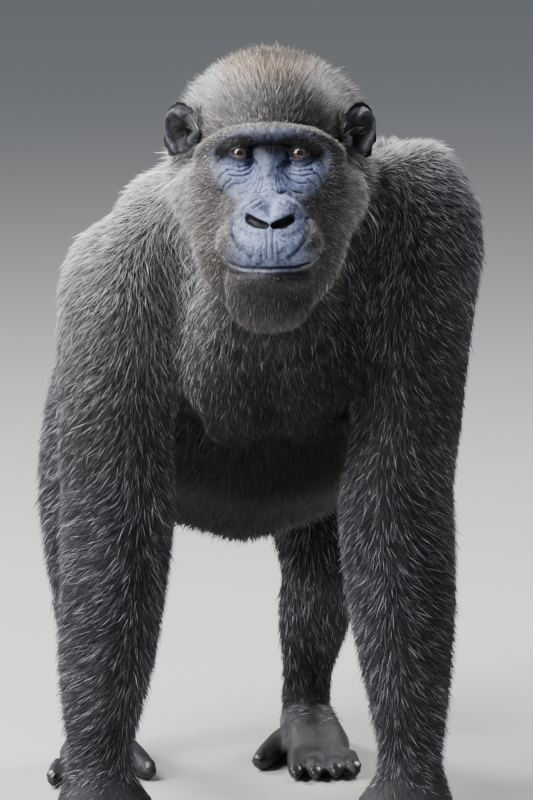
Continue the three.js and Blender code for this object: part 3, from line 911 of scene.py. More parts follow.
def skin_colour(points, parts):
    local = in_head(points)
    from_face = from_bare_face(local)
    on_head, on_ear = belongs(parts, "head", "jaw"), belongs(parts, "ear")
    face = (1 - ease(-2, 9, from_face)) * on_head
    tone = np.tile(np.array(BLACK_SKIN), (len(points), 1))
    for colour, share in (
        (HAND_SKIN, belongs(parts, "hand", "foot")),
        ((0.024, 0.021, 0.021), on_head),
        (SLATE_AND_SKY_SHEEN, face),
        ((0.092, 0.094, 0.118), 0.75 * face * ease(-13, 1, from_face)),
        ((0.016, 0.016, 0.020), on_ear),
        # painted highlight on the ear's ridges, and painted shade in its folds
        ((0.062, 0.063, 0.080), on_ear * ease(0.6, 3.6, ear_relief)),
        ((0.003, 0.003, 0.003), on_ear * ease(-0.6, -3.0, ear_relief)),
    ):
        tone = mix(tone, colour, share)
    for side in (-1, 1):
        mirrored = local * [side, 1, 1]
        tone = lay_on(tone, EYE_PATCHES, mirrored, face)
        gap = lid_distance(local, side)
        tone = mix(tone, (0.012, 0.010, 0.011), 0.9 * hump(gap, 1.6) * (local[:, 1] < 4))
        # painted shade inside the nostrils
        tone = mix(tone, (0.001, 0.001, 0.001), 1 - ease(0.1, 2.0, nostril_distance(mirrored)))
        drawn = seen_from_front(local, side)
        # painted shade along the crease beside the nose and in the fine creases
        tone = mix(tone, DARK_SKIN_AND_SHADE, 0.6 * face * hump(line_distance(drawn, FOLDS[0][0]), 2.4))
        for line, width, height in FOLDS:
            if width < 1.7 and height < 0:
                tone = mix(tone, DARK_SKIN_AND_SHADE, 0.75 * face * hump(line_distance(drawn, line), 0.9))
        tone = lay_on(tone, EDGE_PATCHES, mirrored, face)
    tone = lay_on(tone, MIDDLE_PATCHES, local, face)
    tone = colour_mouth(tone, local, on_head)
    # a painted highlight of the sky on the nose pad
    nose_highlight = 0.6 * face * blotch(local, (0, -80), (44, 34)) * (tone[:, 2] > 0.15)
    tone = mix(tone, (0.240, 0.280, 0.440), nose_highlight)
    mottle = 1 + 0.28 * noise(local, 11, 1) + 0.28 * noise(local, 4, 2)
    mottle -= 0.55 * ease(0.25, 0.55, noise(local, 2.4, 9))
    return np.clip(tone * mottle[:, None], 0.0008, 1)


def paint(mesh, name, colours):
    layer = mesh.color_attributes.new(name, "FLOAT_COLOR", "POINT")
    flat = np.ones((len(colours), 4))
    flat[:, :3] = colours
    layer.data.foreach_set("color", flat.ravel())


paint(base, "tone", skin_colour(points, part_of(points)))
print("painted", len(points), "points")

# %% [markdown]
# Hair on the body is nearly black. It is painted lighter high up and towards the front, with painted
# highlights on the shoulders where the light from above falls. Painted shade makes the underside of the trunk
# darkest. Head hair runs from silver at the face to grey-brown at the back.


# %% Colour of the coat
def coat_colour(points, parts):
    """The colour of the hair's tips."""
    local, body = in_head(points), in_body(points)
    tone = np.tile(np.array(BODY_BLACK), (len(points), 1))
    # painted light: the tips are lighter high on the body and less so towards the back, where the light from
    # above falls; they are also lighter low down
    top = ease(560, 860, body[:, 2]) * (1 - 0.65 * ease(0, 150, body[:, 1]))
    tone *= (0.9 + 1.7 * top + 0.45 * (1 - ease(430, 580, body[:, 2])))[:, None]
    # painted shade under the chest and belly, where the body hides them from the light
    under = belongs(parts, "belly", "chest") * (1 - ease(500, 760, body[:, 2]))
    tone = mix(tone, (0.0035, 0.0035, 0.004), under * (1 - ease(330, 460, body[:, 1])))
    on_head = belongs(parts, "head", "jaw").astype(float)
    tone = mix(tone, GREY_BROWN, on_head)
    from_face = from_bare_face(local)
    edge = 1 - ease(4, 16, from_face)
    tone = mix(tone, SILVER, on_head * edge * ease(-60, 10, local[:, 2]) * 0.9)
    tone = mix(tone, SILVER, on_head * ease(70, 110, np.abs(local[:, 0])) * 0.7)
    dark = on_head * blotch(local, (0, 60), (48, 16)) * 0.7
    tone = mix(tone, (0.085, 0.078, 0.075), dark)
    tone = mix(tone, SILVER, on_head * ease(50, 90, local[:, 2]) * 0.6)
    chestnut = on_head * ease(66, 92, local[:, 2]) * (1 - ease(30, 62, np.abs(local[:, 0]))) * 0.85
    tone = mix(tone, CHESTNUT, chestnut * (1 - ease(90, 150, local[:, 1])))
    tone = mix(tone, (0.018, 0.015, 0.013), on_head * wet_tufts(local))
    tone = mix(tone, (0.055, 0.051, 0.053), on_head * ease(-115, -185, local[:, 2]) * 0.75)
    tone = mix(tone, (0.045, 0.042, 0.045), on_head * blotch(local, (0, -160), (44, 18)) * 0.85)
    neck = belongs(parts, "neck").astype(float)
    tone = mix(tone, (0.035, 0.033, 0.036), neck)
    nape = (on_head + neck) * ease(85, 150, local[:, 1]) * ease(-200, -100, local[:, 2])
    fading = mix(np.array(GREY_BROWN), (0.075, 0.070, 0.076), ease(110, 230, local[:, 1]))
    tone = mix(tone, fading, nape * (1 - 0.9 * chestnut))
    # painted highlights where the light from above and the left falls on the shoulders
    for centre, half, share, pale in SHOULDER_HIGHLIGHTS:
        shoulder = np.exp(-(((body - np.array(centre)) / half) ** 2).sum(1)) * (1 - on_head)
        tone = mix(tone, (pale, 0.98 * pale, pale), share * shoulder)
    patches = 1 + 0.22 * noise(points / MM, 55, 5) + 0.15 * noise(points / MM, 16, 6)
    return np.clip(tone * patches[:, None], 0.002, 1)


print("the coat's mean colour:", coat_colour(points, part_of(points)).mean(0).round(3))

# %% [markdown]
# ## Finishes
# Skin is a dull surface with a soft sheen. Its pores and fine creases are too small to model, so a node
# group makes them as a bump from cells and noise, and the face and the hands share it. Hair is darker
# and duller, and takes its colour from the points of the tufts.


# %% Materials
def new_material(name, **values):
    material = bpy.data.materials.new(name)
    material.use_nodes = True
    shader = material.node_tree.nodes["Principled BSDF"]
    for key, value in values.items():
        shader.inputs[key.replace("_", " ")].default_value = value
    return material, material.node_tree, shader


def attribute(tree, name):
    node = tree.nodes.new("ShaderNodeAttribute")
    node.attribute_name = name
    return node


grain = bpy.data.node_groups.new("skin_grain", "ShaderNodeTree")
grain.interface.new_socket("Size", in_out="INPUT", socket_type="NodeSocketFloat")
grain.interface.new_socket("Height", in_out="OUTPUT", socket_type="NodeSocketFloat")
size_in, height_out, place, cells, fine, finer, total = (
    grain.nodes.new(kind)
    for kind in (
        "NodeGroupInput", "NodeGroupOutput", "ShaderNodeTexCoord", "ShaderNodeTexVoronoi",
        "ShaderNodeTexNoise", "ShaderNodeMath", "ShaderNodeMath",
    )
)
cells.feature = "DISTANCE_TO_EDGE"
fine.inputs["Detail"].default_value = 4.0
finer.operation, total.operation = "MULTIPLY", "MULTIPLY_ADD"
finer.inputs[1].default_value = 1.7
total.inputs[1].default_value = 0.9
for output, entry in (
    (place.outputs["Object"], cells.inputs["Vector"]),
    (place.outputs["Object"], fine.inputs["Vector"]),
    (size_in.outputs["Size"], cells.inputs["Scale"]),
    (size_in.outputs["Size"], finer.inputs[0]),
    (finer.outputs[0], fine.inputs["Scale"]),
    (cells.outputs["Distance"], total.inputs[0]),
    (fine.outputs["Fac"], total.inputs[2]),
    (total.outputs[0], height_out.inputs["Height"]),
):
    grain.links.new(output, entry)
print("the skin's grain has", len(grain.nodes), "nodes")

# %% Skin and hair
skin_finish, tree, shader = new_material("bare_skin", Roughness=0.42, Specular_IOR_Level=0.22)
tree.links.new(attribute(tree, "tone").outputs["Color"], shader.inputs["Base Color"])
pores = tree.nodes.new("ShaderNodeGroup")
pores.node_tree = grain
pores.inputs["Size"].default_value = 420.0
bump = tree.nodes.new("ShaderNodeBump")
bump.inputs["Strength"].default_value = 0.5
bump.inputs["Distance"].default_value = 0.0012
tree.links.new(pores.outputs["Height"], bump.inputs["Height"])
tree.links.new(bump.outputs["Normal"], shader.inputs["Normal"])


def hair_material(name, roughness, specular):
    material, tree, shader = new_material(name, Roughness=roughness, Specular_IOR_Level=specular)
    tree.links.new(attribute(tree, "tone").outputs["Color"], shader.inputs["Base Color"])
    return material


body_hair = hair_material("body_hair", 0.5, 0.16)
head_hair = hair_material("head_hair", 0.55, 0.3)
skin.data.materials.clear()
skin.data.materials.append(skin_finish)
print("finishes:", skin_finish.name, body_hair.name, head_hair.name)

# %% [markdown]
# ## Eyes
# The eyeball is a sphere whose pole looks straight ahead, so its rings follow the iris. The cornea stands
# out a little over the iris, as on a real eye, which catches the light. Iris, rim and dark white of the
# eye are bands of a colour ramp that reads each point's angle from the pupil.

# %% Eyeballs
IRIS_ANGLE = math.radians(41)
CORNEA_ANGLE, CORNEA_BULGE = IRIS_ANGLE * 1.08, 0.075
eye_finish, tree, shader = new_material("eye", Roughness=0.12, Specular_IOR_Level=0.5)
shader.inputs["Coat Weight"].default_value = 1.0
shader.inputs["Coat Roughness"].default_value = 0.02
ramp = tree.nodes.new("ShaderNodeValToRGB")
bands = [
    (0.0, (0.001, 0.001, 0.001)), (0.15, (0.001, 0.001, 0.001)), (0.19, (0.034, 0.018, 0.013)),
    (0.31, (0.080, 0.043, 0.033)), (0.43, (0.044, 0.025, 0.019)), (0.5, (0.006, 0.004, 0.003)),
    (0.6, (0.018, 0.012, 0.010)), (1.0, (0.045, 0.032, 0.028)),
]
while len(ramp.color_ramp.elements) < len(bands):
    ramp.color_ramp.elements.new(0.5)
for element, (position, colour) in zip(ramp.color_ramp.elements, bands):
    element.position = position
    element.color = (*colour, 1)
tree.links.new(attribute(tree, "from_pupil").outputs["Fac"], ramp.inputs["Fac"])
tree.links.new(ramp.outputs["Color"], shader.inputs["Base Color"])

for side, centre in eyes.items():
    bm = bmesh.new()
    bmesh.ops.create_uvsphere(bm, u_segments=48, v_segments=64, radius=EYEBALL * MM)
    mesh = mesh_of(bm, f"eyeball_{side}")
    ball = points_of(mesh)
    angle = np.arccos(np.clip(ball[:, 2] / (EYEBALL * MM), -1, 1))
    bulge = 1 + CORNEA_BULGE * (1 - np.clip(angle / CORNEA_ANGLE, 0, 1) ** 2)
    ball *= bulge[:, None]
    ball = ball @ np.array([[1, 0, 0], head_axes[2], -head_axes[1]]) + centre
    put_points(mesh, ball)
    layer = mesh.attributes.new("from_pupil", "FLOAT", "POINT")
    layer.data.foreach_set("value", np.clip(angle / (2 * IRIS_ANGLE), 0, 1))
    mesh.shade_smooth()
    eyeball = add_object(f"eyeball_{side}", mesh)
    mesh.materials.append(eye_finish)
    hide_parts(f"eye_{side}")
    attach(eyeball, "root")
print("eyeballs made")

# %% [markdown]
# ## Nails
# Finger and toe nails are small shields of black horn. Each is a flattened ball that lies on the skin
# nearest to the frame's nail, set into it but for the top, and each hand or foot carries its five as one
# piece.

# %% Nails
nail_finish, tree, shader = new_material("nail", Roughness=0.32, Specular_IOR_Level=0.5)
shader.inputs["Base Color"].default_value = (0.016, 0.015, 0.017, 1)
TOE_NAIL_HALF, FINGER_NAIL_HALF = (6.8, 8.0, 2.2, 1), (5.0, 6.0, 1.8, 1)
skin_tree = BVHTree.FromPolygons([Vector(p) for p in points], triangles_of(base).tolist())
for limb in ("finger_nail_left", "finger_nail_right", "toe_nail_left", "toe_nail_right"):
    names = [f"{limb}_{i}" for i in range(1, 6)]
    towards_tip = Vector((0, -1, 0)) if limb.startswith("toe") else Vector((0, 0, -1))
    bm = bmesh.new()
    for name in names:
        place, outwards, *_ = skin_tree.find_nearest(Vector(middle(name)))
        across = towards_tip.cross(outwards).normalized()
        axes = Matrix((across, outwards.cross(across), outwards)).transposed().to_4x4()
        half = TOE_NAIL_HALF if limb.startswith("toe") else FINGER_NAIL_HALF
        form = Matrix.Translation(place) @ axes @ Matrix.Diagonal(half)
        bmesh.ops.create_icosphere(bm, subdivisions=4, radius=MM, matrix=form)
    mesh = mesh_of(bm, f"{limb}s")
    mesh.shade_smooth()
    mesh.materials.append(nail_finish)
    nails = add_object(f"{limb}s", mesh)
    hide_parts(*names)
    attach(nails, "root")
    print(nails.name, "cover", len(names), "solids")

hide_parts(*FLESH)
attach(skin, "root")

# %% [markdown]
# ## The coat
# Hair lies in a flow: up and back over the crown, out and down over the cheeks, down and outwards on the
# arms, and back along the trunk. The flow is written as a direction for each part, laid flat on the
# skin. Each tuft is a thin three-sided spike, rooted just under the skin. Most are straight and have four
# triangles, and a few in a hundred have one bend and ten triangles, so some 350,000 can cover the animal.
# Particle hair would be quicker to set up, but it isn't a mesh, so no other program could open it.

# %% The lie of the hair on the head
BACK_LINE = 60


def head_flow(local):
    """The direction of the hair on crown, cheeks, chin and nape, not yet laid flat."""
    x, y, z = local.T
    n = len(local)
    crown, chin = ease(0, 34, z), ease(-110, -165, z)
    mid = (1 - crown) * (1 - chin)
    nape = ease(110, 175, y)
    hx = np.clip(x / 70, -1, 1)
    direction = (
        crown[:, None] * np.stack([hx * 0.55, np.full(n, 0.75), 0.75 - 0.9 * ease(60, 130, y)], 1)
        + mid[:, None] * np.stack([hx * 0.95, np.full(n, 0.55), -0.42 - 0.3 * ease(-20, -100, z)], 1)
        + chin[:, None] * np.stack([hx * 0.35, np.full(n, 0.12), np.full(n, -0.95)], 1)
    )
    down = np.stack([hx * 0.25, np.full(n, 0.5), np.full(n, -0.85)], 1)
    return (direction * (1 - nape)[:, None] + nape[:, None] * down) @ head_axes


print("over the crown the hair runs along", head_flow(np.array([[0.0, 40, 110]]))[0].round(2))


# %% The lie of all the hair
def lie_of_hair(points, normals, parts):
    """The direction in which the hair runs, flat on the skin."""
    local, body = in_head(points), in_body(points)
    side = np.sign(body[:, 0] + 30 * (body[:, 1] > 300))
    n = len(points)
    flow = np.tile(np.array([0.0, 0.5, -0.85]), (n, 1))

    def use(mask, x, y, z):
        values = [np.broadcast_to(v, n)[mask] for v in (x, y, z)]
        flow[mask] = np.stack(values, 1)

    outward = ease(105, 205, np.abs(body[:, 0]) + 12 * noise(points / MM, 40, 15))
    top = ease(770, 850, body[:, 2])  # on top of the shoulder all hair runs outwards, so it has no whorl
    away = (0.95 * outward - 0.2) * (1 - top) + 0.8 * top
    use(belongs(parts, "upper_arm", "forearm", "hand"), side * away, 0.25, -0.8 + 0.3 * top)
    low = belongs(parts, "forearm", "hand")
    use(low, side * (1.1 * outward - 0.25), 0.4 - 0.1 * outward, -0.62 - 0.2 * (1 - outward))
    lean = np.clip(body[:, 0] / 90, -1, 1)
    use(belongs(parts, "chest"), lean * 0.3, -0.1, -0.95)
    back = belongs(parts, "chest", "belly", "rump") & (body[:, 1] > BACK_LINE)
    use(back, lean * 0.3, 0.8, -0.55)
    use(belongs(parts, "thigh"), side * 0.15, 0.5, -0.8)
    use(belongs(parts, "shank", "foot"), side * 0.1, 0.2, -0.95)
    use(belongs(parts, "neck"), lean * 0.3, 0.55, -0.75)

    on_head = belongs(parts, "head", "jaw", "ear")
    flow[on_head] = head_flow(local)[on_head]

    swirl = np.stack([noise(points / MM, 60, s) for s in (11, 12, 13)], 1) * 0.12
    flow = unit(flow) + swirl
    flow -= normals * np.sum(flow * normals, axis=1, keepdims=True)
    return unit(flow)


sample = np.array([nodes["upper_arm_left"].data.vertices[0].co[:]])
sample_lie = lie_of_hair(sample, np.array([[1.0, 0, 0]]), part_of(sample))
print("at one point of an arm the hair runs along", sample_lie[0].round(2))

# %% [markdown]
# Hair is longest on the back and belly and shortest on the chest and hands. It thins out towards the bare
# knuckles and soles. On the head its length follows from the room between the skin and the outline that
# the hair tips have to reach, and next to the bare face it is only a few millimetres long.

# %% Tufts of the head
def head_coat(local, parts):
    """Length, angle off the skin, width, and tufts for each square centimetre, on the head."""
    from_face = from_bare_face(local)
    x, y, z = local.T
    room = np.clip(-head_distance(local, hair=0.0), 2, 32)
    angle = 27 + 20 * ease(70, 112, z) + 10 * ease(50, 110, y) * ease(20, 60, z)
    length = np.clip(room / np.sin(np.radians(angle)) * 0.95, 5.0, 34)
    longest = 3.6 + 0.9 * ease(-6, 4, from_face) + 0.22 * np.maximum(from_face, 0) + 2 * ease(60, 95, z)
    length = np.minimum(length, longest)
    length += 7 * ease(-150, -190, z) + 14 * ease(105, 160, y) * (1 - ease(30, 70, z))
    wet = wet_tufts(local)
    length += 2.5 * wet
    width = 0.70 + 0.4 * ease(0, 80, from_face) + 0.6 * wet
    crown_extra = 26 * ease(10, 30, z) * ease(40, 80, from_face)
    spread = (64 - 32 * ease(20, 90, from_face) + crown_extra) * ease(-7, 3, from_face)
    edge = ease(-15, 1, from_face)
    beside_bags = (np.abs(x) > 34) * ease(-66, -54, z) * ease(2, -8, z)
    for stray in (
        13 * ease(-20, -2, from_face) * (np.abs(z + 105) < 45),
        36 * edge * ease(6, 16, z),
        30 * edge * beside_bags,
    ):
        spread = np.maximum(spread, stray)
    spread *= ~belongs(parts, "ear") * (1 - 0.35 * ease(110, 150, y))
    spread *= ease(2.5, 5.5, line_distance(local[:, [0, 2]], MOUTH))
    return length, angle + 5 * wet, width, spread


print("on top of the crown:", [round(float(v[0]), 1) for v in head_coat(np.array([[0.0, 40, 110]]), [0])])

# %% Tufts of the body
# (length in mm, angle off the skin in degrees, width in mm, tufts for each square centimetre)
BODY_COAT = {
    "upper_arm": (18, 22, 1.05, 27),
    "forearm": (20, 24, 1.05, 27),
    "hand": (13, 24, 1.0, 26),
    "foot": (12, 24, 1.0, 24),
    "chest": (15, 20, 0.95, 30),
    "belly": (27, 23, 1.6, 12.5),
    "rump": (23, 20, 1.4, 17),
    "thigh": (21, 20, 1.35, 18),
    "shank": (18, 22, 1.2, 20),
    "neck": (24, 26, 1.25, 24),
}
BACK_COAT = (27, 24, 1.4, 17)


def coat_shape(points, parts):
    """The same four measures at every point of the animal."""
    local, body = in_head(points), in_body(points)
    shape = np.zeros((4, len(points)))
    for word, values in BODY_COAT.items():
        shape[:, belongs(parts, word)] = np.array(values)[:, None]
    shape[:, belongs(parts, "chest") & (body[:, 1] > BACK_LINE)] = np.array(BACK_COAT)[:, None]
    length, stance, _, spread = shape
    spread *= np.where(belongs(parts, "hand"), ease(84, 118, body[:, 2]), 1)
    spread *= np.where(belongs(parts, "foot"), ease(48, 82, body[:, 2]), 1)
    hackles = ease(-120, -70, body[:, 1]) * (1 - ease(-40, 45, body[:, 1]))
    hackles *= 1 - ease(70, 120, np.abs(body[:, 0]))
    mane = belongs(parts, "neck") & (body[:, 2] > 780)
    length[mane] = 24 + 5 * hackles[mane]
    stance[mane] = 22 + 14 * hackles[mane]
    spread[mane] = 25
    on_head = belongs(parts, "head", "jaw", "ear")
    for field, value in zip(shape, head_coat(local, parts)):
        field[on_head] = value[on_head]
    return shape


print("the body has", len(BODY_COAT) + 1, "kinds of coat")


# %% [markdown]
# Roots are spread evenly by walking over the skin's triangles in order of place and taking one at equal
# steps of weighted area. The coat is made in eleven pieces, so that none of them gets too heavy.

# %% Regions of the coat
# the most tufts that each piece may have
REGIONS = {
    "crown": 44000, "cheeks": 46000, "neck": 24000, "chest": 24000, "back": 40000, "belly": 30000,
    "rump": 24000, "arm_left": 46000, "arm_right": 46000, "leg_left": 22000, "leg_right": 22000,
}
rng = np.random.default_rng(7)


def region_names(points, parts):
    local, body = in_head(points), in_body(points)
    names = np.full(len(points), "belly", dtype=object)
    on_head = belongs(parts, "head", "jaw", "ear")
    names[on_head & (local[:, 2] > 8)] = "crown"
    names[on_head & (local[:, 2] <= 8)] = "cheeks"
    names[belongs(parts, "neck")] = "neck"
    names[belongs(parts, "chest")] = "chest"
    names[belongs(parts, "chest") & (body[:, 1] > BACK_LINE)] = "back"
    names[belongs(parts, "rump")] = "rump"
    for side in ("left", "right"):
        arm = tuple(f"{w}_{side}" for w in ("upper_arm", "forearm", "hand"))
        leg = tuple(f"{w}_{side}" for w in ("thigh", "shank", "foot"))
        names[belongs(parts, *arm)] = f"arm_{side}"
        names[belongs(parts, *leg)] = f"leg_{side}"
    return names


skin_triangles = triangles_of(base)
centres = points[skin_triangles].mean(axis=1)
centre_parts = part_of(centres)
centre_region = region_names(centres, centre_parts)
print({name: int((centre_region == name).sum()) for name in REGIONS})

# %% [markdown]
# Each piece of coat gets its own unwrap of the skin under it, and every tuft's texture patch sits at its
# root there, so a bake keeps the colours of neighbours apart.

# %% Sow roots on the skin
UV_NAME = "OFBake"
PATCH = 0.003
SOWING_CELL = 0.02


def unwrapped(name, chosen):
    """Where the corners of the chosen skin triangles lie on an unwrap of them."""
    used, renumbered = np.unique(skin_triangles[chosen], return_inverse=True)
    mesh = bpy.data.meshes.new(f"under_{name}")
    mesh.from_pydata(points[used], [], renumbered.reshape(-1, 3))
    patch = add_object(f"under_{name}", mesh)
    bpy.context.view_layer.objects.active = patch
    patch.select_set(True)
    bpy.ops.object.mode_set(mode="EDIT")
    bpy.ops.mesh.select_all(action="SELECT")
    bpy.ops.uv.smart_project(angle_limit=math.radians(70), island_margin=0.004)
    bpy.ops.object.mode_set(mode="OBJECT")
    flat = np.empty(len(mesh.loops) * 2)
    mesh.uv_layers.active.data.foreach_get("uv", flat)
    places = flat.reshape(-1, 3, 2)
    bpy.data.objects.remove(patch)
    bpy.data.meshes.remove(mesh)
    return places


def sow(chosen, spread, most):
    """Picks triangles at equal steps of area times spread, and a random point in each."""
    a, b, c = (points[skin_triangles[chosen]][:, k] for k in range(3))
    square_cm = np.linalg.norm(np.cross(b - a, c - a), axis=1) / 2 * 1e4
    weight = square_cm * spread
    cell = np.floor(points[skin_triangles[chosen]].mean(axis=1) / SOWING_CELL).astype(int)
    order = np.lexsort((cell[:, 0], cell[:, 1], cell[:, 2]))
    total = np.cumsum(weight[order])
    count = min(int(total[-1]), most)
    steps = (np.arange(count) + rng.random(count)) * total[-1] / count
    picked = order[np.searchsorted(total, steps).clip(0, len(order) - 1)]
    u, v = rng.random(count), rng.random(count)
    flip = u + v > 1
    u[flip], v[flip] = 1 - u[flip], 1 - v[flip]
    return picked, np.stack([1 - u - v, u, v], 1)


# %% [markdown]
# One function turns roots into a mesh. A tuft with a bend leaves the skin at its own angle and then settles
# towards it. The points of a spike share their direction with the skin below, which lets the fur shade like
# one soft surface with fine strokes on it. Tufts are dark at the root, as the hair is and as painted shade
# deep in the coat, and they differ in tone. One in seven is pale, partly as the pale hairs of the coat and
# partly as painted glints of light on the tips, which gives the coat its salt-and-pepper look.

# %% Build the tufts
ROOT_DEPTH = 1.2
# share of pale tufts: pale hairs and painted glints of light on their tips
BENT_SHARE, PALE_AND_GLINT_SHARE = 0.03, 0.14
# roots, and the knees of bent tufts, are darker, as the hair is, and as painted shade deep in the coat
ROOT_TONE, KNEE_TONE, DULL = 0.09, 0.42, 0.72
# how much paler those tufts are: pale hairs and painted glints
PALE_AND_GLINT = {"coat": 5.0, "head_coat": 2.3}
BENT = [(0, 2, 1), (0, 1, 4, 3), (1, 2, 5, 4), (2, 0, 3, 5), (3, 4, 6), (4, 5, 6), (5, 3, 6)]
PLAIN = [(0, 2, 1), (0, 1, 3), (1, 2, 3), (2, 0, 3)]
SPOT = {0: (0, 0), 1: (0.5, 0), 2: (1, 0), 3: (0, 0.5), 4: (0.5, 0.5), 5: (1, 0.5), 6: (0.5, 1)}
PLAIN_SPOT = {0: (0, 0), 1: (0.5, 0), 2: (1, 0), 3: (0.5, 1)}


def spikes(faces, spots, shapes, directions, colours, places, start):
    """Arrays of corners, face sizes and texture places for many copies of one spike."""
    count, size = shapes.shape[:2]
    loop = np.array([v for face in faces for v in face])
    loops = (loop[None] + size * np.arange(count)[:, None] + start).ravel()
    sizes = np.tile([len(face) for face in faces], count)
    spot = np.array([spots[v] for v in loop])
    uvs = (places[:, None] + (spot[None] - 0.5) * PATCH).reshape(-1, 2)
    return shapes.reshape(-1, 3), directions.reshape(-1, 3), colours.reshape(-1, 3), loops, sizes, uvs


def spiky_mesh(name, shapes, directions, colours, loops, sizes, uvs):
    mesh = bpy.data.meshes.new(name)
    mesh.vertices.add(len(shapes))
    mesh.vertices.foreach_set("co", shapes.ravel())
    mesh.loops.add(len(loops))
    mesh.loops.foreach_set("vertex_index", loops)
    mesh.polygons.add(len(sizes))
    mesh.polygons.foreach_set("loop_start", np.concatenate([[0], np.cumsum(sizes)[:-1]]))
    mesh.update(calc_edges=True)
    mesh.uv_layers.new(name=UV_NAME).data.foreach_set("uv", uvs.ravel())
    paint(mesh, "tone", np.clip(colours, 0.002, 0.9))
    mesh.shade_smooth()
    mesh.normals_split_custom_set_from_vertices(directions)
    return mesh


print("a straight tuft has", len(PLAIN), "faces and a bent one", len(BENT))

# %% [markdown]
# Real hairs differ from their neighbours, so each tuft's direction, stance, length, width and tone vary
# by chance. The chances are drawn from a seed, so every run gives the same coat.


# %% Shape and colour the tufts
def tufts(name, roots, normals, lie, length, stance, width, tip_colour, places, material, slot_name):
    """One piece of coat, with a tuft at every root."""
    count = len(roots)
    jitter = rng.normal(size=(count, 3))
    side_way = np.cross(normals, lie)
    lie = unit(lie + side_way * (jitter[:, :1] * 0.24))
    side_way = unit(np.cross(normals, lie))
    stance = np.radians(stance * (1 + 0.2 * jitter[:, 1]))[:, None]
    length = (length * np.clip(1 + 0.22 * jitter[:, 2], 0.45, 1.45) * MM)[:, None]
    width = (width * rng.uniform(0.75, 1.3, count) * MM / 2)[:, None]
    foot = roots - normals * ROOT_DEPTH * MM
    shade = np.exp(rng.normal(size=count) * 0.55)
    # some tufts are pale, as pale hairs and as painted glints of light
    shade *= np.where(rng.random(count) < PALE_AND_GLINT_SHARE, PALE_AND_GLINT[slot_name], DULL)
    tip_tone = tip_colour * shade[:, None]
    bent = rng.random(count) < BENT_SHARE
    made, start = [], 0
    for chosen, bends in ((bent, True), (~bent, False)):
        up, flat, across, angle = normals[chosen], lie[chosen], side_way[chosen], stance[chosen]
        rise = angle * (1.25 if bends else 0.85)
        first = np.cos(rise) * flat + np.sin(rise) * up
        over = np.cross(first, across)
        n, size = len(up), len(SPOT if bends else PLAIN_SPOT)
        shape, direction, colour = (np.empty((n, size, 3)) for _ in range(3))
        stem = first * length[chosen]
        end = foot[chosen] + stem
        if bends:
            settle = angle * 0.55
            knee = foot[chosen] + stem * 0.55
            end = knee + (np.cos(settle) * flat + np.sin(settle) * up) * length[chosen] * 0.7
            colour[:, 3:6] = tip_tone[chosen][:, None] * KNEE_TONE
        for k in range(3):
            turn = 2 * math.pi * (k / 3) + math.pi / 2
            radial = math.cos(turn) * across + math.sin(turn) * over
            shape[:, k] = foot[chosen] + radial * width[chosen]
            direction[:, k] = unit(radial + up * 0.8)
            if bends:
                shape[:, 3 + k] = knee + radial * width[chosen]
                direction[:, 3 + k] = direction[:, k]
        shape[:, -1] = end
        direction[:, -1] = unit(up + first * 0.2)
        colour[:, :3] = tip_tone[chosen][:, None] * ROOT_TONE
        colour[:, -1] = tip_tone[chosen]
        kind = (BENT, SPOT) if bends else (PLAIN, PLAIN_SPOT)
        made.append(spikes(*kind, shape, direction, colour, places[chosen], start))
        start += n * size
    mesh = spiky_mesh(name, *(np.concatenate(part) for part in zip(*made)))
    mesh.materials.append(material)
    piece = add_object(name, mesh)
    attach(piece, "root")
    print(name, count, "tufts,", int(bent.sum()), "of them bent")


# %% Grow the coat
skin_facing = facing(points, skin_triangles)
whole = 0
for region, most in REGIONS.items():
    chosen = np.nonzero(centre_region == region)[0]
    spread = coat_shape(centres[chosen], centre_parts[chosen])[3]
    picked, share = sow(chosen, spread, most)
    places = unwrapped(region, chosen)
    corners = skin_triangles[chosen][picked]
    roots = np.einsum("nk,nkd->nd", share, points[corners])
    normals = unit(np.einsum("nk,nkd->nd", share, skin_facing[corners]))
    root_places = np.einsum("nk,nkd->nd", share, places[picked])
    root_parts = centre_parts[chosen][picked]
    lie = lie_of_hair(roots, normals, root_parts)
    length, stance, width, _ = coat_shape(roots, root_parts)
    tips = coat_colour(roots, root_parts)
    look, slot_name = (head_hair, "head_coat") if region in ("crown", "cheeks") else (body_hair, "coat")
    name = f"coat_{region}"
    tufts(name, roots, normals, lie, length, stance, width, tips, root_places, look, slot_name)
    whole += len(roots)
print(whole, "tufts in all")

# %% [markdown]
# ## Stage, light and camera
# The animal stands on a plain pale floor under soft daylight: a broad lamp above, a smaller one from the
# front left, and two behind that light the fringe of the coat. The camera looks a little down from far
# away through a long lens, which keeps the head and the arms in their true proportions.

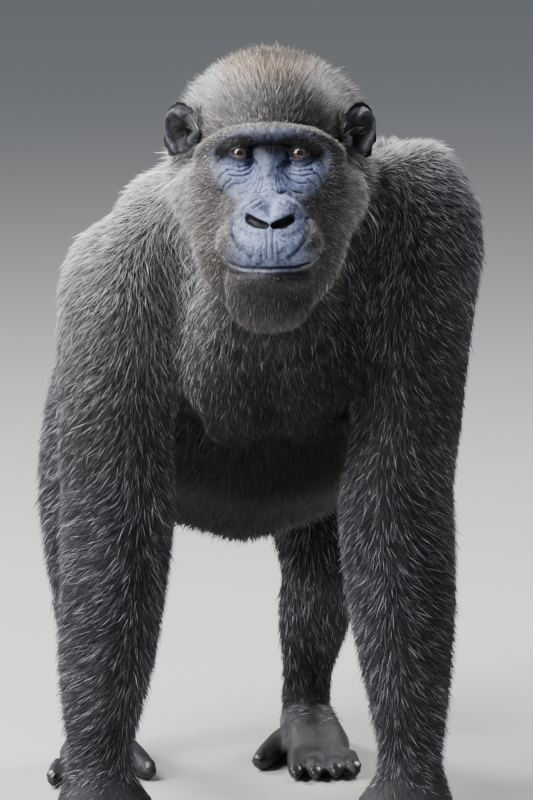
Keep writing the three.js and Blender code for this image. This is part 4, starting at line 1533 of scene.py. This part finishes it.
# %% Stage
FLOOR_HALF = 60.0
bm = bmesh.new()
bmesh.ops.create_grid(bm, x_segments=1, y_segments=1, size=FLOOR_HALF)
floor = add_object("floor", mesh_of(bm, "floor"))
floor_finish, tree, shader = new_material("floor", Roughness=0.9)
shader.inputs["Base Color"].default_value = (0.50, 0.495, 0.475, 1)
floor.data.materials.append(floor_finish)

world = bpy.data.worlds.new("daylight")
world.use_nodes = True
sky = world.node_tree.nodes["Background"]
sky.inputs["Color"].default_value = (0.80, 0.86, 1.0, 1)
sky.inputs["Strength"].default_value = 0.25
bpy.context.scene.world = world
print("floor", 2 * FLOOR_HALF, "m wide")

# %% Lamps
AIM = Vector(between_eyes + np.array([0, 0.2, -0.25]))
# (name, place, size, power, colour)
LAMPS = [
    ("sky", (-1.5, -1.0, 3.3), 2.0, 230, (0.97, 0.98, 1.0)),
    ("front_left", (-3.3, -2.4, 2.4), 1.0, 205, (1.0, 0.98, 0.97)),
    ("fringe_left", (-2.2, 1.8, 2.6), 1.0, 150, (1, 1, 1)),
    ("fringe_right", (1.4, 1.6, 3.0), 1.0, 110, (1, 1, 1)),
]
for name, spot, size, power, colour in LAMPS:
    lamp = add_object(name, bpy.data.lights.new(name, "AREA"))
    lamp.data.shape = "SQUARE"
    lamp.data.size, lamp.data.energy, lamp.data.color = size, power, colour
    lamp.location = spot
    lamp.rotation_euler = (AIM - lamp.location).to_track_quat("-Z", "Y").to_euler()
    print(name, power, "W")

# %% Camera
TARGET_HEIGHT = 572 * MM
DISTANCE, LENS, FURTHEST = 9.0, 332.0, 40
body_origin = between_eyes - EYE_LINE * MM
target = Vector((body_origin[0], body_origin[1], TARGET_HEIGHT))
camera = add_object("camera", bpy.data.cameras.new("camera"))
camera.data.lens = LENS
camera.data.clip_end = FURTHEST
camera.location = target + DISTANCE * Vector((0, -cosine, sine))
camera.rotation_euler = (target - camera.location).to_track_quat("-Z", "Y").to_euler()
bpy.context.scene.camera = camera
print("camera at", [round(v, 3) for v in camera.location])
